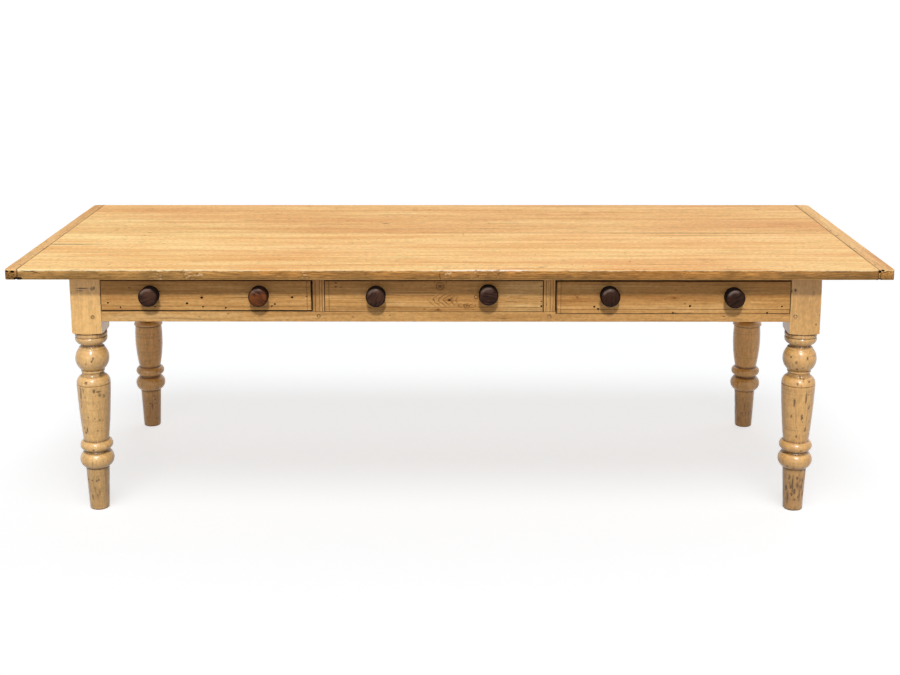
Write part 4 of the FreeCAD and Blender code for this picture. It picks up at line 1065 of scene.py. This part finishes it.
def worn_knob(node, seed):
    """A turned knob that stands on the drawer front, dented a little, marked for painted shade on its
    sides and waist and a painted highlight on its face.
    """
    low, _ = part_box(node)
    steps = np.concatenate([[0.02 * MM, 0.15 * MM, 0.5 * MM, 1.0 * MM],
                            np.arange(1.7 * MM, front_face - low.y, 0.8 * MM)])
    levels = np.append(low.y + steps, front_face)
    profile = np.interp(levels, *outline(node, 1, front_face + 0.01 * MM))
    angles = np.linspace(0, 2 * pi, 72, endpoint=False)
    angle, level = np.meshgrid(angles, levels)
    radius = np.repeat(profile[:, None], len(angles), axis=1)
    place = np.column_stack([(radius * np.cos(angle)).ravel(), level.ravel(),
                             (radius * np.sin(angle)).ravel()])
    bruises = above(noise(place, 0.007, seed), 0.35)
    waves = 0.5 + 0.5 * noise(place, 0.02, seed + 1)
    radius = radius - (MM * (0.35 * bruises + 0.25 * waves)).reshape(radius.shape) * (radius > 0.01)
    widest = radius.max()
    waist = unit((level - (front_face - 9 * MM)) / (8 * MM))
    rim = unit((radius - 0.86 * widest) / (0.1 * widest))
    face = unit(1 - (level - low.y) / (7 * MM)) * (1 - rim)
    # Painted shade: all but the front face, and most of all the waist, is marked to be painted near
    # black, as the shade on the knob's sides.
    grime = unit(np.maximum(waist, 1 - 1.6 * face))
    # Painted highlight: a pale arc on the upper left of the face's rim.
    rub = smooth_step(radius, 0.62 * widest, 0.78 * widest) * face
    rub = rub * smooth_step(np.cos(angle + 0.35), 0.55, 0.97)
    return revolved(node, radius, angle, level, 1, wear=face, grime=grime, rub=rub)


KNOB_DARK = ((0.008, 0.003, 0.002), (0.066, 0.027, 0.015))
KNOB_RED = ((0.02, 0.005, 0.002), (0.175, 0.05, 0.013))
KNOB_BROWN = ((0.005, 0.002, 0.001), (0.036, 0.013, 0.006))
knobs = (("left_knob_a", KNOB_DARK, 0.3), ("left_knob_b", KNOB_RED, -0.5),
         ("middle_knob_a", KNOB_DARK, 1.1), ("middle_knob_b", KNOB_DARK, -0.1),
         ("right_knob_a", KNOB_BROWN, 1.45), ("right_knob_b", KNOB_BROWN, 0.6))
for index, (node, tones, grain_turn) in enumerate(knobs):
    dressed(worn_knob(node, 131 + index), node,
            mahogany("mahogany_" + node, grain_turn, *tones, 0.37 * index))


# Framing that keeps its nodes

RAW = ((0.6, 0.37, 0.165), (0.42, 0.225, 0.085))
iron = old_iron()
raw_woods = {grain: wood("raw_pine_" + grain, grain, *RAW, pith=pith, ring=3.2, mottle=0.5,
                         specks=0.3, rough=0.62)
             for grain, pith in (("X", (0.2, 0.5)), ("Y", (0.1, 0.45)))}
peg_wood = wood("peg_wood", "Y", (0.52, 0.29, 0.11), (0.33, 0.16, 0.05), ring=2.0, contrast=0.6,
                rough=0.5)
top_rail_wood = wood("pine_top_rail", "X", *FRAME, pith=(-0.4, 0.65))
X_GRAIN = ("_drawer_back", "_drawer_bottom", "drawer_stops", "glue_blocks")

for name, node in nodes.items():
    if node.hide_render:
        continue
    if "nails" in name or "screws" in name:
        slot, material = "iron", iron
    elif name == "frame_pegs":
        slot, material = "peg_wood", peg_wood
    elif name == "front_top_rail":
        slot, material = "frame_pine", top_rail_wood
    else:
        slot, material = "raw_pine", raw_woods["X" if name.endswith(X_GRAIN) else "Y"]
    for place in node.material_slots:
        place.material = material
    if slot in ("raw_pine", "frame_pine"):
        modifier(node, "worn_arris", "BEVEL", width=0.6 * MM, segments=2, limit_method="ANGLE",
                 angle_limit=radians(50))


# Floor, light and camera

FLOOR_SHADE = 0.8
SEEN_FLOOR_SHADE = 0.76
SEEN_FLOOR_TINT = (0.96, 1.0, 1.035)
SEEN_FLOOR_GLOW = 0.645
FLOOR_HALF = 60.0
FILL_LEVEL = 0.14
WHITE = (1, 1, 1)


def seen_directly(paint):
    """1 for camera, mirror and glass rays, 0 for the rays that only carry light."""
    path = paint.node("LightPath").outputs
    return paint.most(paint.most(path["Is Camera Ray"], path["Is Glossy Ray"]),
                      path["Is Transmission Ray"])


floor_paint = Paint("studio_floor")
carried = floor_paint.put("BsdfDiffuse", np.multiply(WHITE, FLOOR_SHADE))
shaded_floor = floor_paint.put("BsdfDiffuse", np.multiply(SEEN_FLOOR_TINT, SEEN_FLOOR_SHADE))
glow = floor_paint.put("Emission", WHITE, SEEN_FLOOR_GLOW)
seen_floor = floor_paint.put("AddShader", shaded_floor, glow)
floor_paint.node("OutputMaterial", floor_paint.put("MixShader", seen_directly(floor_paint),
                                                   carried, seen_floor))

floor_mesh = bpy.data.meshes.new("studio_floor")
floor_corners = [(x * FLOOR_HALF, y * FLOOR_HALF, 0) for x, y in ((-1, -1), (1, -1), (1, 1), (-1, 1))]
floor_mesh.from_pydata(floor_corners, [], [(0, 1, 2, 3)])
floor_mesh.materials.append(floor_paint.owner)
floor = add_object("studio_floor", floor_mesh)

sky = Paint("studio", bpy.data.worlds)
level = sky.scaled(seen_directly(sky), 1.0 - FILL_LEVEL, FILL_LEVEL)
sky.node("OutputWorld", sky.put("Background", WHITE, level))
bpy.context.scene.world = sky.owner


def soft_light(name, direction, level, spread):
    """A wide distant lamp; level is what a plain white face turned to it would render."""
    light = bpy.data.lights.new(name, "SUN")
    light.energy = pi * level
    light.angle = radians(spread)
    lamp = add_object(name, light)
    lamp.rotation_mode = "QUATERNION"
    lamp.rotation_quaternion = (-Vector(direction)).to_track_quat("-Z", "Y")
    return lamp


key = soft_light("key", (0.0, -1.0, 1.03), 0.72, 6)
soft_light("overhead", (0.0, -0.42, 1.0), 0.27, 32)
soft_light("front_fill", (0.0, -1.0, 0.2), 0.2, 50)
soft_light("rear_fill", (0.5, 1.0, 0.9), 0.12, 70)
not_lit = bpy.data.collections.new("not_lit_by_key")
not_lit.objects.link(floor)
not_lit.collection_objects[0].light_linking.link_state = "EXCLUDE"
key.light_linking.receiver_collection = not_lit

CAMERA_PLACE = (0.0261, -4.4266, 1.6677)
CAMERA_TILT = 0.1961
CAMERA_TURN = 0.0056
CAMERA_ROLL = 0.0009
LENS = 56.38
SHIFT_UP = -112 / 900

camera_data = bpy.data.cameras.new("camera")
camera_data.lens = LENS
camera_data.sensor_width = 36.0
camera_data.shift_y = SHIFT_UP
camera = add_object("camera", camera_data)
camera.location = CAMERA_PLACE
camera.rotation_euler = (pi / 2 - CAMERA_TILT, CAMERA_ROLL, CAMERA_TURN)
bpy.context.scene.camera = camera
bpy.context.scene.view_settings.view_transform = "Standard"
